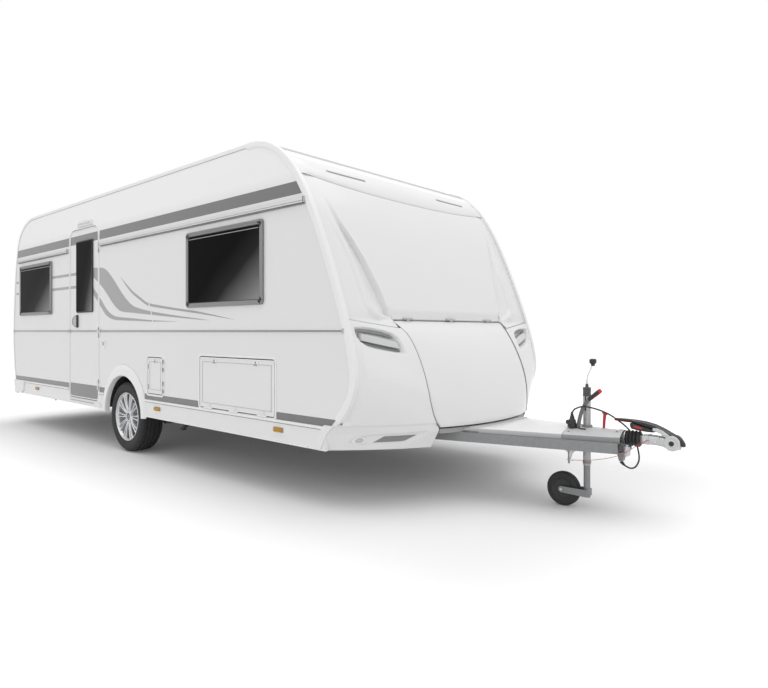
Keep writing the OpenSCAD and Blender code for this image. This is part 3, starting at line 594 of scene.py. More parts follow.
def paneWithPaintedReflection(name, cx, cz, width, height, forward, strength=1.0, onEnd=False):
    # acrylic pane with a painted reflection: a soft grey sheen painted into its colour, fading up and back across
    # the pane
    f = Finish(name)
    x, y, z = f.axes()
    along = ((y if onEnd else x) - cx) * (forward / width) + 0.5
    up = (z - cz) * (1 / height) + 0.5
    wave = f.noise(3.0, 3)
    reach = along * 0.95 - up * 0.75 + wave * 0.12
    # painted reflection: the pane's colour runs from near black to grey across it
    shade = f.ramp(reach, (0.12, tone(0.006)), (0.45,
                                                tone(0.022 * strength, 0.022 * strength,
                                                     0.0225 * strength)), (0.74, tone(0.15 * strength)),
                   (0.97, tone(0.27 * strength)))
    film = f.noise(120, 2)
    return f.done(base_color=shade, roughness=0.16 + film * 0.08, specular_ior_level=0.1, ior=1.15)


def boardFinish(name, colour, scale=7):
    # coated plywood with a faint grain along X
    f = Finish(name)
    grain = f.noise(scale, 6, f.stretched(1.2, 14, 14))
    return f.done(base_color=f.blend(grain, tone(*[c * 0.8 for c in colour[:3]]), colour),
                  roughness=0.62 + grain * 0.15, normal=f.bump(grain, 0.0003))


def tyreFinish():
    # sidewall and tread rubber, with fine moulding rings round the hub and dust in the tread
    f = Finish("tyreRubber")
    x, y, z = f.axes()
    radius = ((x - wheelX) ** 2 + (z - wheelZ) ** 2) ** 0.5
    rings = f.node("ShaderNodeMath", {"operation": "SINE"}, [radius * (2 * math.pi / 0.0042)])
    fine = f.noise(320, 4)
    cloud = f.noise(11, 5)
    return f.done(base_color=f.blend(cloud, tone(0.02, 0.02, 0.021), tone(0.036, 0.036, 0.037)),
                  roughness=0.66 + cloud * 0.2, normal=f.bump(rings * 0.35 + fine * 0.5, 0.0003))


def gritFinish(name, colour):
    # sprayed underseal
    f = Finish(name)
    grit = f.noise(150, 6)
    cloud = f.noise(4, 5)
    return f.done(base_color=f.blend(cloud, colour, tone(*[c * 1.6 for c in colour[:3]])),
                  roughness=0.74 + cloud * 0.14, normal=f.bump(grit, 0.0008))


# the walls and the roof take the painted highlight above the upper stripe
sheet = paint("bodySheet", tone(0.79, 0.79, 0.79), 0.3, 0.012, upper=0.9)
doorSheet = paint("doorSheet", tone(0.79, 0.79, 0.79), 0.3, 0.012, patch=2.2)
moulding = paint("whiteMoulding", tone(0.8, 0.8, 0.8), 0.34, 0.015, grain=190, coat=0.35)
ribWhite = paint("edgeRib", tone(0.86, 0.86, 0.86), 0.36, 0.012, grain=320)
greyMoulding = paint("drawbarMoulding", tone(0.56, 0.565, 0.57), 0.42, 0.03, grain=300, height=0.0001,
                     coat=0.1)
stripeFilm = paint("stripeFilm", tone(0.15, 0.15, 0.152), 0.36, 0.02, grain=500, coat=0.4)
swirlFilm = paint("swirlFilm", tone(0.335, 0.335, 0.338), 0.36, 0.02, grain=500, coat=0.4)
frameGrey = plastic("windowFrame", tone(0.24, 0.24, 0.243), 0.42, spread=0.05)
sealRubber = rubber("sealRubber", tone(0.05), 0.7)
softGrey = plastic("sealGrey", tone(0.5), 0.55, spread=0.04)
blackPlastic = plastic("blackPlastic", tone(0.022, 0.022, 0.023), 0.5)
greyPlastic = plastic("greyPlastic", tone(0.3, 0.305, 0.31), 0.5, spread=0.05)
paleGrille = plastic("fridgeGrille", tone(0.34, 0.345, 0.35), 0.45, spread=0.04)
# near black sheets laid where there is only shade: painted shadow behind the grilles, in slots and in the wheels'
# rims
paintedShadowBlack = gritFinish("shadowBlack", tone(0.012))
galvanised = steel("galvanisedSteel", tone(0.27, 0.275, 0.28), 0.42, spangle=60, metallic=0.55)
brightSteel = steel("zincPlate", tone(0.62, 0.625, 0.63), 0.24, spangle=160, dirt=0.15)
paleSteel = steel("paleZinc", tone(0.46, 0.465, 0.47), 0.4, spangle=60, metallic=0.5)
darkSteel = steel("handbrakeSteel", tone(0.17, 0.172, 0.175), 0.42, spangle=120, metallic=0.5)
castSteel = steel("castCoupling", tone(0.56, 0.565, 0.57), 0.36, spangle=240, metallic=0.8, dirt=0.35)
alloy = alloyFinish()
rail = railFinish()
tyreRubber = tyreFinish()
bellowsRubber = rubber("bellowsRubber", tone(0.018), 0.62)
hubBlack = plastic("jockeyHubBlack", tone(0.03), 0.5, spread=0.1)
capGrey = plastic("jockeyCapGrey", tone(0.075), 0.5, spread=0.08)
# painted shade for the upright sides of the drawbar cover: greys darker than its top
shadedCoverSide = paint("drawbarSkirt", tone(0.3, 0.303, 0.307), 0.42, 0.03, grain=300, height=0.0001, coat=0.1)
shadedCoverSidePale = paint("drawbarSkirtPale", tone(0.52, 0.523, 0.527), 0.4, 0.03, grain=300, height=0.0001,
                      coat=0.1)
lightDome = paint("roofLightDome", tone(0.62, 0.63, 0.64), 0.22, 0.02, coat=0.5)
jockeyRubber = rubber("jockeyTyre", tone(0.024), 0.78)
cableSkin = rubber("cableSheath", tone(0.02), 0.55, grain=600, height=0.00005)
redCord = rubber("redBreakaway", tone(0.42, 0.02, 0.022), 0.45, grain=700, height=0.00004)
redPlastic = plastic("redPlastic", tone(0.52, 0.02, 0.025), 0.4, spread=0.1)
amber = lens("amberLens", tone(0.66, 0.33, 0.006), 0.004, gloss=0.2, coat=0.1)
redLens = lens("redLens", tone(0.17, 0.004, 0.008), 0.006, glow=tone(0.3, 0.004, 0.008), gloss=0.15, coat=0.1)
redGlow = lens("redLightBar", tone(0.66, 0.045, 0.022), 0.005, glow=tone(0.9, 0.06, 0.03), gloss=0.15,
               coat=0.1)
clearLens = lens("clearLens", tone(0.72, 0.72, 0.72), 0.005)
silverInsert = paint("lampInsert", tone(0.6, 0.605, 0.61), 0.22, 0.03, coat=0.6)
underfloor = boardFinish("underfloorBoard", tone(0.09, 0.09, 0.092))
lockerBoard = boardFinish("lockerBoard", tone(0.42, 0.42, 0.41))
wheelBoxSeal = gritFinish("wheelBoxSeal", tone(0.02))
print("materials made:", len(bpy.data.materials))


# cords, on the routes that their CAD solids hold
def curvePoints(points, steps):
    # smooth line through given points
    line = []
    for i in range(len(points) - 1):
        a, b, c, d = (Vector(points[j]) for j in (max(0, i - 1), i, i + 1, min(len(points) - 1, i + 2)))
        for k in range(steps):
            t = k / steps
            line.append(0.5 * (2 * b + (c - a) * t + (2 * a - 5 * b + 4 * c - d) * t * t
                               + (3 * b - a - 3 * c + d) * t * t * t))
    return line + [Vector(points[-1])]


def cordCurve(name, route, diameter, material, node):
    data = bpy.data.curves.new(name, "CURVE")
    data.dimensions = "3D"
    data.bevel_depth = diameter / 2
    data.bevel_resolution = 4
    data.use_fill_caps = True
    spline = data.splines.new("POLY")
    spline.points.add(len(route) - 1)
    for point, place in zip(spline.points, route):
        point.co = (*place, 1)
    piece = bpy.data.objects.new(name, data)
    scene.collection.objects.link(piece)
    data.materials.append(material)
    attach(piece, "caravan")
    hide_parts(node)
    return piece


def lineLength(line):
    return sum((b - a).length for a, b in zip(line, line[1:]))


plugCord = {
    "route": [(3.322, -0.08, 0.612), (3.323, -0.08, 0.632), (3.342, -0.082, 0.66), (3.4, -0.084, 0.681),
              (3.462, -0.066, 0.672), (3.506, -0.028, 0.652), (3.54, 0.014, 0.626), (3.574, 0.05, 0.592),
              (3.618, 0.072, 0.552), (3.654, 0.082, 0.5), (3.684, 0.076, 0.43), (3.702, 0.052, 0.365),
              (3.69, 0.03, 0.32), (3.664, 0.014, 0.308), (3.634, 0.002, 0.322), (3.608, 0.0, 0.346)],
    "diameter": 0.01,
}
breakawayCord = {"route": [(3.352, -0.175, 0.346), (3.43, -0.142, 0.349), (3.52, -0.104, 0.362),
                           (3.6, -0.08, 0.386), (3.665, -0.066, 0.418), (3.722, -0.057, 0.463),
                           (3.765, -0.046, 0.492), (3.792, -0.0382, 0.505)], "diameter": 0.0032,}
plugLine = curvePoints(plugCord["route"], 4)
breakLine = curvePoints(breakawayCord["route"], 4)
plugCable = cordCurve("plugCable", plugLine, plugCord["diameter"], cableSkin, "plug_cable")
breakCable = cordCurve("breakawayCable", breakLine, breakawayCord["diameter"], redCord, "breakaway_cable")
print(f"plug cable {lineLength(plugLine):.3f} m, breakaway cable {lineLength(breakLine):.3f} m")


def turnedAt(name, profile, place, direction, steps=40, angle=35):
    # a turned piece with its axis along a direction
    piece = turned(name, profile, steps, angle)
    turn = Vector(direction).to_track_quat("Z", "Y").to_matrix().to_4x4()
    piece.data.transform(Matrix.Translation(Vector(place)) @ turn)
    piece.data.update()
    return piece


# parked plug: ribbed body, flange, locking collar and side cap on its holder
plugLow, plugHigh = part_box("parking_plug")
plugAt = (plugCord["route"][0][0], plugCord["route"][0][1])
body = turned("plugBody", [(0.0, 0.0), (0.0225, 0.0), (0.0245, 0.003), (0.0245, 0.02), (0.0262, 0.022),
                           (0.0262, 0.03), (0.0245, 0.032), (0.0245, 0.046), (0.0225, 0.05), (0.018, 0.054),
                           (0.015, 0.058), (0.0145, 0.07), (0.012, 0.0735), (0.0, 0.0735)], 40, 35)
for vertex in body.data.vertices:
    # grip flutes on the collar
    if 0.0315 < vertex.co.z < 0.047 and round(math.atan2(vertex.co.y, vertex.co.x) / (2 * math.pi) * 40) % 2:
        vertex.co.x *= 0.955
        vertex.co.y *= 0.955
moved(body, *plugAt, plugHigh.z - 0.0735)
holder = softPlate("plugHolder", 0.05, 0.046, 0.01, 0.024, 0.004)
moved(holder, *plugAt, plugLow.z + 0.0005)
sideCap = turnedAt("plugSideCap", [(0.0, 0.0), (0.012, 0.0), (0.014, 0.003), (0.014, 0.014),
                                   (0.0115, 0.018), (0.0, 0.018)],
                   (plugAt[0] - 0.021, plugAt[1], plugHigh.z - 0.04), (-1, 0, 0), 28)
parkedPlug = settle(merged("parkedPlug", [body, holder, sideCap]), 35)
wear(parkedPlug, "caravan", blackPlastic)
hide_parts("parking_plug")
relief = turnedAt("plugStrainRelief", [(0.0108, -0.002), (0.0112, 0.004), (0.0092, 0.006), (0.0098, 0.009),
                                       (0.0084, 0.012), (0.0088, 0.015), (0.0074, 0.018), (0.0076, 0.021),
                                       (0.0062, 0.024), (0.0052, 0.028), (0.0052, -0.002),
                                       (0.0108, -0.002)], plugLine[0], plugLine[2] - plugLine[0], 28)
wear(relief, "caravan", cableSkin)
boot = turnedAt("housingBoot", [(0.0052, 0.002), (0.0052, 0.034), (0.0066, 0.03), (0.0086, 0.02),
                                (0.009, 0.016), (0.0108, 0.006), (0.0112, 0.0), (0.0052, 0.002)],
                plugLine[-1], plugLine[-3] - plugLine[-1], 28)
wear(boot, "caravan", cableSkin)
lineLength(plugLine)
lineLength(breakLine)
print("cords made")


# side walls; places along the side are given ahead of the axle
def onSide(piece, side, x=0.0, z=0.0, out=0.0):
    # sets a flat piece on a side wall, x ahead of the axle and out from the wall's face
    sign = -1 if side == "right" else 1
    return face(piece, side, (wheelX + x, sign * (bodyHalf + out), z))


def block(name, low, high, edge=0.002):
    x, y = (low[0] + high[0]) / 2, (low[1] + high[1]) / 2
    piece = cutSheet(name, softOutline(0, 0, high[0] - low[0], high[1] - low[1], (0.004,) * 4, 2),
                     high[2] - low[2], edge)
    moved(piece, x, y, low[2])
    return piece


def sideSheet(name, side, outline, depth, out=0.0, edge=0.0, band=None):
    # a film, plate or frame whose outline is given as (x ahead of the axle, z)
    points = outline if side == "right" else [(-x, z) for x, z in outline][::-1]
    piece = ringSheet(name, points, band, depth, edge) if band else cutSheet(name, points, depth, edge)
    return onSide(piece, side, out=out)


def clipped(outline, x, ahead):
    # the part of an outline ahead of x, or behind it
    kept = []
    inside = [(p[0] >= x) == ahead for p in outline]
    for i, p in enumerate(outline):
        q, stays = outline[i - 1], inside[i]
        if stays != inside[i - 1]:
            t = (x - q[0]) / (p[0] - q[0])
            kept.append((x, q[1] + (p[1] - q[1]) * t))
        if stays:
            kept.append(p)
    return kept


def bandOutline(x0, x1, z0, z1, steps=6):
    # a band whose ends may follow the wall's curved edges
    heights = [z0 + (z1 - z0) * k / steps for k in range(steps + 1)]
    low = x0 if callable(x0) else (lambda z: x0)
    high = x1 if callable(x1) else (lambda z: x1)
    return [(high(z), z) for z in heights] + [(low(z), z) for z in reversed(heights)]


films = {
    "thick": 0.0006,
    "upper": (2.096, 2.186),
    "lower": (sillZ, 0.597),
    "pair": ((1.765, 1.795), (1.625, 1.655)),
}
doorRear, doorFront = -1.246, -0.53       # the entrance door's edges
skirtOut = 0.0055                          # how far the skirts stand out of the walls


def rearEnd(z):
    return rearAt(z) - wheelX + 0.014


def frontEnd(z):
    return frontAt(z) - wheelX - 0.04


def film(name, side, outline, body="caravan", material=None, slot="trim_aluminium", lift=0.0):
    piece = sideSheet(name, side, outline, films["thick"], out=-0.0001 + lift)
    return wear(piece, body, material or stripeFilm)


def lowRear(z):
    return rearEnd(z) - 0.004

def lowFront(z):
    return min(frontEnd(z), 2.99)

upper, lower = films["upper"], films["lower"]
gap = 0.024       # bare wall beside the door's frame
stripes = [   # name, side, rear end, front end, heights, body
    ("upper.rear", "right", rearEnd, doorRear - gap, upper, "caravan"),
    ("upper.front", "right", doorFront + gap, frontEnd, upper, "caravan"),
    ("upper.door", "right", doorRear + 0.002, doorFront - 0.002, upper, "entrance_door"),
    ("lower.rear", "right", lowRear, doorRear - gap, lower, "caravan"),
    ("lower.sill", "right", doorFront + gap, -0.385, lower, "caravan"),
    ("lower.middle", "right", 0.448, 1.352, lower, "caravan"),
    ("lower.front", "right", 2.364, lowFront, lower, "caravan"),
    ("upper.left.rear", "left", rearEnd, -0.578, upper, "caravan"),
    ("upper.left.front", "left", -0.176, frontEnd, upper, "caravan"),
    ("lower.left.rear", "left", lowRear, -0.385, lower, "caravan"),
    ("lower.left.front", "left", 0.448, lowFront, lower, "caravan"),
]
for name, side, x0, x1, heights, body in stripes:
    film("stripe." + name, side, bandOutline(x0, x1, *heights), body)
doorLow = softOutline((doorRear + doorFront) / 2, 0.53, 0.712, 0.146, (0.043, 0.043, 0.0005, 0.0005))
film("stripe.lower.door", "right", doorLow, "entrance_door")

# swept decals: each is (upper edge, lower edge), from the rear to the tip
sweeps = {"main": ([(-0.76, 1.815), (-0.65, 1.815), (-0.52, 1.812), (-0.4, 1.794), (-0.306, 1.752),
                    (-0.16, 1.65), (-0.002, 1.525), (0.13, 1.442), (0.258, 1.391), (0.526, 1.347),
                    (0.95, 1.302), (1.371, 1.264), (1.53, 1.25)],
                   [(-0.76, 1.79), (-0.648, 1.719), (-0.481, 1.632), (-0.35, 1.545), (-0.221, 1.449),
                    (-0.11, 1.385), (-0.002, 1.352), (0.25, 1.334), (0.526, 1.314), (0.95, 1.284),
                    (1.371, 1.257)]), "second": ([(-0.76, 1.7), (-0.648, 1.607), (-0.55, 1.54),
                                                  (-0.452, 1.469), (-0.37, 1.403), (-0.28, 1.35),
                                                  (-0.19, 1.318), (-0.083, 1.302), (0.25, 1.282),
                                                  (0.55, 1.264), (1.057, 1.245)],
                                                 [(-0.76, 1.63), (-0.648, 1.542), (-0.55, 1.466),
                                                  (-0.452, 1.392), (-0.37, 1.332), (-0.28, 1.297),
                                                  (-0.19, 1.278), (-0.083, 1.27), (0.25, 1.26),
                                                  (0.55, 1.25)]),
          "third": ([(-0.045, 1.692), (0.05, 1.632), (0.2, 1.545), (0.357, 1.478), (0.45, 1.438),
                     (0.55, 1.413), (0.95, 1.365), (1.371, 1.321), (1.87, 1.249)],
                    [(0.06, 1.607), (0.2, 1.518), (0.357, 1.45), (0.45, 1.412), (0.55, 1.388),
                     (0.95, 1.346), (1.371, 1.305)]),}
slash = [(0.515, 1.455), (0.545, 1.375), (0.575, 1.33), (0.602, 1.235), (0.588, 1.235), (0.56, 1.33),
         (0.53, 1.375), (0.5, 1.455)]


def flowing(edge):
    return [(p.x, p.z) for p in curvePoints([(x, 0, z) for x, z in edge], 5)]


for sideName, start in (("right", doorFront + 0.024), ("left", -0.676)):
    for name, (top, under) in sweeps.items():
        outline = flowing(top) + flowing(under)[::-1]
        if name != "third":
            if sideName == "right":
                onDoor = clipped(clipped(outline, doorFront - 0.003, False), -0.65, True)
                film("sweep.door." + name, "right", onDoor[::-1], "entrance_door", swirlFilm)
            outline = clipped(outline, start, True)
        film("sweep." + sideName + "." + name, sideName, outline[::-1], "caravan", swirlFilm)
    film("slash." + sideName, sideName, slash, "caravan", sheet, "body_sheet", lift=0.0004)
for k, (z0, z1) in enumerate(films["pair"]):
    for name, side, x0, x1, body in (("wall", "right", -1.758, doorRear - 0.024, "caravan"),
                                     ("door", "right", doorRear + 0.003, -1.07, "entrance_door"),
                                     ("rear", "right", -2.968, -2.885, "caravan"),
                                     ("middle", "left", -1.95, -1.582, "caravan"),
                                     ("rear", "left", -3.015, -2.722, "caravan")):
        film(f"pair.{side}.{name}.{k}", side, bandOutline(x0, x1, z0, z1, 1), body, swirlFilm)
print("side stripes laid")


# windows: grey frame, rubber, acrylic pane and the edge of the blind's box
windows = [   # side, centre ahead of the axle, width, height
    ("right", 1.7, 1.04, 0.618), ("right", -2.283, 1.04, 0.618),
    ("left", 1.49, 0.77, 0.618), ("left", -1.13, 0.894, 0.412), ("left", -2.335, 0.759, 0.618),
]
pane = {"top": 1.975, "proud": 0.018, "band": 0.034, "radius": 0.028, "sunk": 0.004}
for k, (side, x, width, height) in enumerate(windows):
    z = pane["top"] - height / 2
    inner = (width - 2 * pane["band"], height - 2 * pane["band"])
    ring = softRing(f"windowFrame.{k}", width, height, pane["radius"], pane["band"], pane["proud"], 0.004)
    wear(onSide(ring, side, x, z), "caravan", frameGrey)
    gasket = softRing(f"windowSeal.{k}", inner[0] + 0.002, inner[1] + 0.002, 0.012, 0.006, 0.0145, 0.001)
    wear(onSide(gasket, side, x, z), "caravan", sealRubber)
    look = paneWithPaintedReflection(f"pane{k}", wheelX + x, z, inner[0], inner[1], 1, 1.0)
    glass = softPlate(f"windowPane.{k}", inner[0] - 0.008, inner[1] - 0.008, 0.01,
                      pane["proud"] - pane["sunk"], 0.002)
    wear(onSide(glass, side, x, z), "caravan", look)
    blind = softPlate(f"blindEdge.{k}", inner[0] - 0.03, 0.006, 0.001, 0.0012)
    wear(onSide(blind, side, x, z + inner[1] / 2 - 0.026, pane["proud"] - pane["sunk"]), "caravan",
         greyPlastic)
    hinge = softPlate(f"windowTopRail.{k}", width - 0.05, 0.014, 0.004, 0.006, 0.003)
    wear(onSide(hinge, side, x, z + height / 2 - 0.011, pane["proud"] - 0.001), "caravan", frameGrey)
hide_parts("side_windows")
print("windows glazed")


# belt trim along both sides, with its dark insert and end caps
belt = {"z": 1.165, "height": 0.024, "proud": 0.007, "rear": -3.035, "front": 3.04}
beltRuns = [("right", "rear", belt["rear"], doorRear - 0.028, "caravan"),
            ("right", "door", doorRear + 0.006, doorFront - 0.02, "entrance_door"),
            ("right", "front", doorFront + 0.055, belt["front"], "caravan"),
            ("left", "whole", belt["rear"], belt["front"], "caravan")]
for side, name, x0, x1, body in beltRuns:
    middle, length = (x0 + x1) / 2, x1 - x0
    strip = softPlate(f"belt.{side}.{name}", length, belt["height"], 0.003, belt["proud"], 0.003)
    wear(onSide(strip, side, middle, belt["z"]), body, rail)
    insert = softPlate(f"beltInsert.{side}.{name}", length - 0.004, 0.011, 0.002, 0.003, 0.001)
    wear(onSide(insert, side, middle, belt["z"], belt["proud"] - 0.001), body, frameGrey)
    for end, x in (("a", x0), ("b", x1)):
        cap = softPlate(f"beltCap.{side}.{name}.{end}", 0.02, 0.034, 0.005, belt["proud"] + 0.005, 0.003)
        wear(onSide(cap, side, x, belt["z"]), body, softGrey)
print("belt trims fixed")


# entrance door: frames, window, handle, catch, lamp and sill
door = {"x": (doorRear + doorFront) / 2, "low": 0.455, "high": 2.245, "width": 0.716}


def doorOutline(grow):
    z = (door["low"] + door["high"]) / 2
    return softOutline(door["x"], z, door["width"] + 2 * grow, door["high"] - door["low"] + 2 * grow,
                       (0.045 + grow, 0.045 + grow, 0.105 + grow, 0.105 + grow), 8)


def frameRings(name, outline, body, gap, wallBand=0.013, leafBand=0.01):
    # a raised lip on the wall round an opening, and one on the leaf's own rim
    lip = sideSheet(name + ".wallLip", "right", outline(gap + wallBand), 0.005, 0.0, 0.002, wallBand)
    wear(lip, "caravan", ribWhite)
    seal = sideSheet(name + ".seal", "right", outline(gap + 0.001), 0.02, -0.026, 0.0, 0.0035)
    wear(seal, "caravan", softGrey)
    rim = sideSheet(name + ".leafRim", "right", outline(-0.0005), 0.0035, 0.0, 0.0015, leafBand)
    wear(rim, body, ribWhite)


frameRings("door", doorOutline, "entrance_door", 0.008)
doorGlass = {"x": -0.86, "z": 1.741, "width": 0.412, "height": 0.762}
ring = softRing("doorWindowFrame", doorGlass["width"], doorGlass["height"], 0.026, 0.012, 0.012, 0.003)
wear(onSide(ring, "right", doorGlass["x"], doorGlass["z"]), "entrance_door", blackPlastic)
look = paneWithPaintedReflection("doorPane", wheelX + doorGlass["x"], doorGlass["z"], doorGlass["width"],
                  doorGlass["height"], 1, 0.9)
glass = softPlate("doorWindowPane", doorGlass["width"] - 0.022, doorGlass["height"] - 0.022, 0.016, 0.009,
                  0.002)
wear(onSide(glass, "right", doorGlass["x"], doorGlass["z"]), "entrance_door", look)
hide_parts("door_window")

handle = {"x": -1.035, "z": 1.269, "radius": 0.07, "wide": 0.15}
halfDisc = [(handle["x"], handle["z"] - handle["radius"])]
halfDisc += [(handle["x"], handle["z"] + handle["radius"])]
halfDisc += [(handle["x"] - handle["wide"] * math.sin(math.radians(a)),
              handle["z"] + handle["radius"] * math.cos(math.radians(a))) for a in range(8, 180, 8)]
bowl = sideSheet("handleBezel", "right", halfDisc[::-1], 0.007, 0.0, 0.003, 0.007)
wear(bowl, "entrance_door", frameGrey)
inner = [(handle["x"] - 0.006 + (x - handle["x"]) * 0.9, handle["z"] + (z - handle["z"]) * 0.9) for x,
         z in halfDisc]
dish = cutSheet("handleDish", inner[::-1], 0.003, 0.001)
wear(onSide(dish, "right"), "entrance_door", softGrey)
grip = softPlate("handleGrip", 0.026, 0.132, 0.008, 0.017, 0.005)
wear(onSide(grip, "right", handle["x"] - 0.008, handle["z"]), "entrance_door", hubBlack)
barrel = turned("doorLock", [(0.011, 0.0), (0.011, 0.004), (0.009, 0.006), (0.004, 0.006), (0.004, 0.0045),
                             (0.0, 0.0045)], 20)
wear(onSide(barrel, "right", handle["x"] - 0.075, handle["z"] - 0.045, 0.001), "entrance_door", brightSteel)

catch = softPlate("doorStayBase", 0.034, 0.09, 0.01, 0.01, 0.004)
wear(onSide(catch, "right", -0.393, 1.034), "caravan", ribWhite)
hook = softPlate("doorStayHook", 0.016, 0.04, 0.005, 0.01, 0.003)
wear(onSide(hook, "right", -0.393, 1.04, 0.009), "caravan", softGrey)

cowlShape = [(-1.016, 2.272), (-0.663, 2.272), (-0.668, 2.312), (-0.7, 2.33), (-0.84, 2.338),
             (-0.979, 2.33), (-1.011, 2.312)]
cowl = sideSheet("awningLamp", "right", cowlShape, 0.021, 0.0, 0.008)
wear(cowl, "caravan", moulding)
tube = softPlate("awningLampLens", 0.3, 0.026, 0.01, 0.006, 0.003)
wear(onSide(tube, "right", -0.84, 2.296, 0.0175), "caravan", clearLens)

sill = [(doorRear - 0.055, 0.392), (doorFront + 0.075, 0.392), (doorFront + 0.04, 0.44),
        (doorRear - 0.02, 0.44)]
step = sideSheet("doorSill", "right", sill, 0.014, skirtOut, 0.004)
wear(step, "caravan", moulding)
tread = softPlate("doorSillTread", 0.6, 0.012, 0.004, 0.005, 0.002)
wear(onSide(tread, "right", door["x"], 0.424, 0.019), "caravan", softGrey)
print("entrance door finished")


# garage and cassette hatches, and the small fittings of both sides
hatches = {
    "garage": {"x": 1.858, "z": 0.756, "width": 0.964, "height": 0.4, "body": "garage_flap"},
    "cassette": {"x": 0.635, "z": 0.765, "width": 0.27, "height": 0.32, "body": "cassette_flap"},
}
for name, hatch in hatches.items():
    def hatchOutline(grow, hatch=hatch):
        return softOutline(hatch["x"], hatch["z"], hatch["width"] + 2 * grow, hatch["height"] + 2 * grow,
                           (0.016 + max(grow, -0.012),) * 4, 5)
    frameRings(name, hatchOutline, hatch["body"], 0.008, 0.016, 0.008)
    fold = sideSheet(name + ".pressedLine", "right", hatchOutline(-0.034), 0.0025, 0.0, 0.001, 0.004)
    wear(fold, hatch["body"], softGrey)


def latch(name, x, z, body, upright=False):
    # plastic turn latch with its key barrel
    base = softPlate(name + ".base", 0.03 if upright else 0.052, 0.052 if upright else 0.034, 0.006, 0.006,
                     0.002)
    wear(onSide(base, "right", x, z), body, ribWhite)
    bar = softPlate(name + ".bar", 0.01 if upright else 0.04, 0.04 if upright else 0.01, 0.003, 0.004, 0.0015)
    wear(onSide(bar, "right", x, z - (0 if upright else 0.008), 0.0055), body, greyPlastic)
    key = turned(name + ".key", [(0.007, 0), (0.007, 0.003), (0.003, 0.0035), (0.003, 0.0025), (0, 0.0025)],
                 16)
    wear(onSide(key, "right", x, z + (0.018 if upright else 0.008), 0.0055), body, frameGrey)


latch("garageLatch.rear", 1.585, 0.925, "garage_flap")
latch("garageLatch.front", 2.125, 0.925, "garage_flap")
latch("cassetteLatch.top", 0.64, 0.898, "cassette_flap")
latch("cassetteLatch.rear", 0.53, 0.842, "cassette_flap", True)
latch("cassetteLatch.low", 0.53, 0.66, "cassette_flap", True)


def marker(name, side, x):
    # amber side marker lamp in its grey foot
    foot = softPlate(name + ".foot", 0.104, 0.036, 0.006, 0.005, 0.002)
    wear(onSide(foot, side, x, 0.475, skirtOut), "caravan", greyPlastic)
    cap = softPlate(name + ".lens", 0.094, 0.028, 0.006, 0.012, 0.006)
    wear(onSide(cap, side, x, 0.475, 0.0085), "caravan", amber)


for k, x in enumerate((-2.21, 0.689, 2.393)):
    marker(f"marker.right.{k}", "right", x)
for k, x in enumerate((-2.247, 0.617, 2.256)):
    marker(f"marker.left.{k}", "left", x)

# skirts: bead, a grey line under the bead that is its painted shadow, and lower lip, between the door, the arches
# and the ends
beads = [("right", -2.955, doorRear - 0.024), ("right", doorFront + 0.024, -0.4), ("right", 0.46, 2.87),
         ("left", -2.955, -0.4), ("left", 0.46, 2.87)]
for k, (side, x0, x1) in enumerate(beads):
    bead = softPlate(f"skirtBead.{k}", x1 - x0, 0.02, 0.008, 0.01, 0.006)
    wear(onSide(bead, side, (x0 + x1) / 2, 0.535, skirtOut), "caravan", ribWhite)
    lip = softPlate(f"skirtLip.{k}", x1 - x0, 0.012, 0.004, 0.005, 0.003)
    wear(onSide(lip, side, (x0 + x1) / 2, 0.391, skirtOut), "caravan", ribWhite)
    # painted shadow: a thin grey strip under the bead
    under = softPlate(f"skirtSeal.{k}", x1 - x0, 0.005, 0.002, 0.003, 0.001)
    wear(onSide(under, side, (x0 + x1) / 2, 0.523, skirtOut), "caravan", frameGrey)

# awning rails: a closer on each end, and a grey strip below that is the rail's painted shadow
for k, (side, x) in enumerate((("right", -2.876), ("right", -1.3), ("right", -0.476), ("right", 2.671),
                               ("left", -2.876), ("left", 2.671))):
    plug = softPlate(f"railCap.{k}", 0.012, 0.042, 0.004, 0.024, 0.003)
    wear(onSide(plug, side, x, 2.048), "caravan", softGrey)
for k, (side, x0, x1) in enumerate((("right", -2.87, -1.306), ("right", -0.47, 2.665),
                                    ("left", -2.87, 2.665))):
    # painted shadow: a thin grey strip under the rail
    under = softPlate(f"railSeal.{k}", x1 - x0, 0.007, 0.002, 0.01, 0.001)
    wear(onSide(under, side, (x0 + x1) / 2, 2.0215), "caravan", frameGrey)

# left side: fridge grilles, inlet, flue and filler caps
for k, (z, height) in enumerate(((2.166, 0.19), (1.0, 0.24))):
    border = softRing(f"grilleFrame.{k}", 0.39, height, 0.012, 0.018, 0.012, 0.003)
    wear(onSide(border, "left", -0.377, z), "caravan", paleGrille)
    # painted shadow: a black plate behind the slats
    back = softPlate(f"grilleBack.{k}", 0.36, height - 0.03, 0.004, 0.003)
    wear(onSide(back, "left", -0.377, z), "caravan", paintedShadowBlack)
    count = int((height - 0.04) / 0.018)
    slats = []
    for n in range(count):
        slat = softPlate("slat", 0.354, 0.012, 0.002, 0.004, 0.001)
        slat.data.transform(Matrix.Rotation(math.radians(-28), 4, "X"))
        moved(slat, 0, (n - (count - 1) / 2) * 0.018, 0.0055)
        slats.append(slat)
    for n in (-1, 0, 1):
        post = softPlate("post", 0.006, height - 0.034, 0.001, 0.008)
        moved(post, n * 0.088, 0, 0.002)
        slats.append(post)
    wear(onSide(merged(f"grilleSlats.{k}", slats), "left", -0.377, z), "caravan", paleGrille)
    if k == 0:
        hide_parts("fridge_vents")

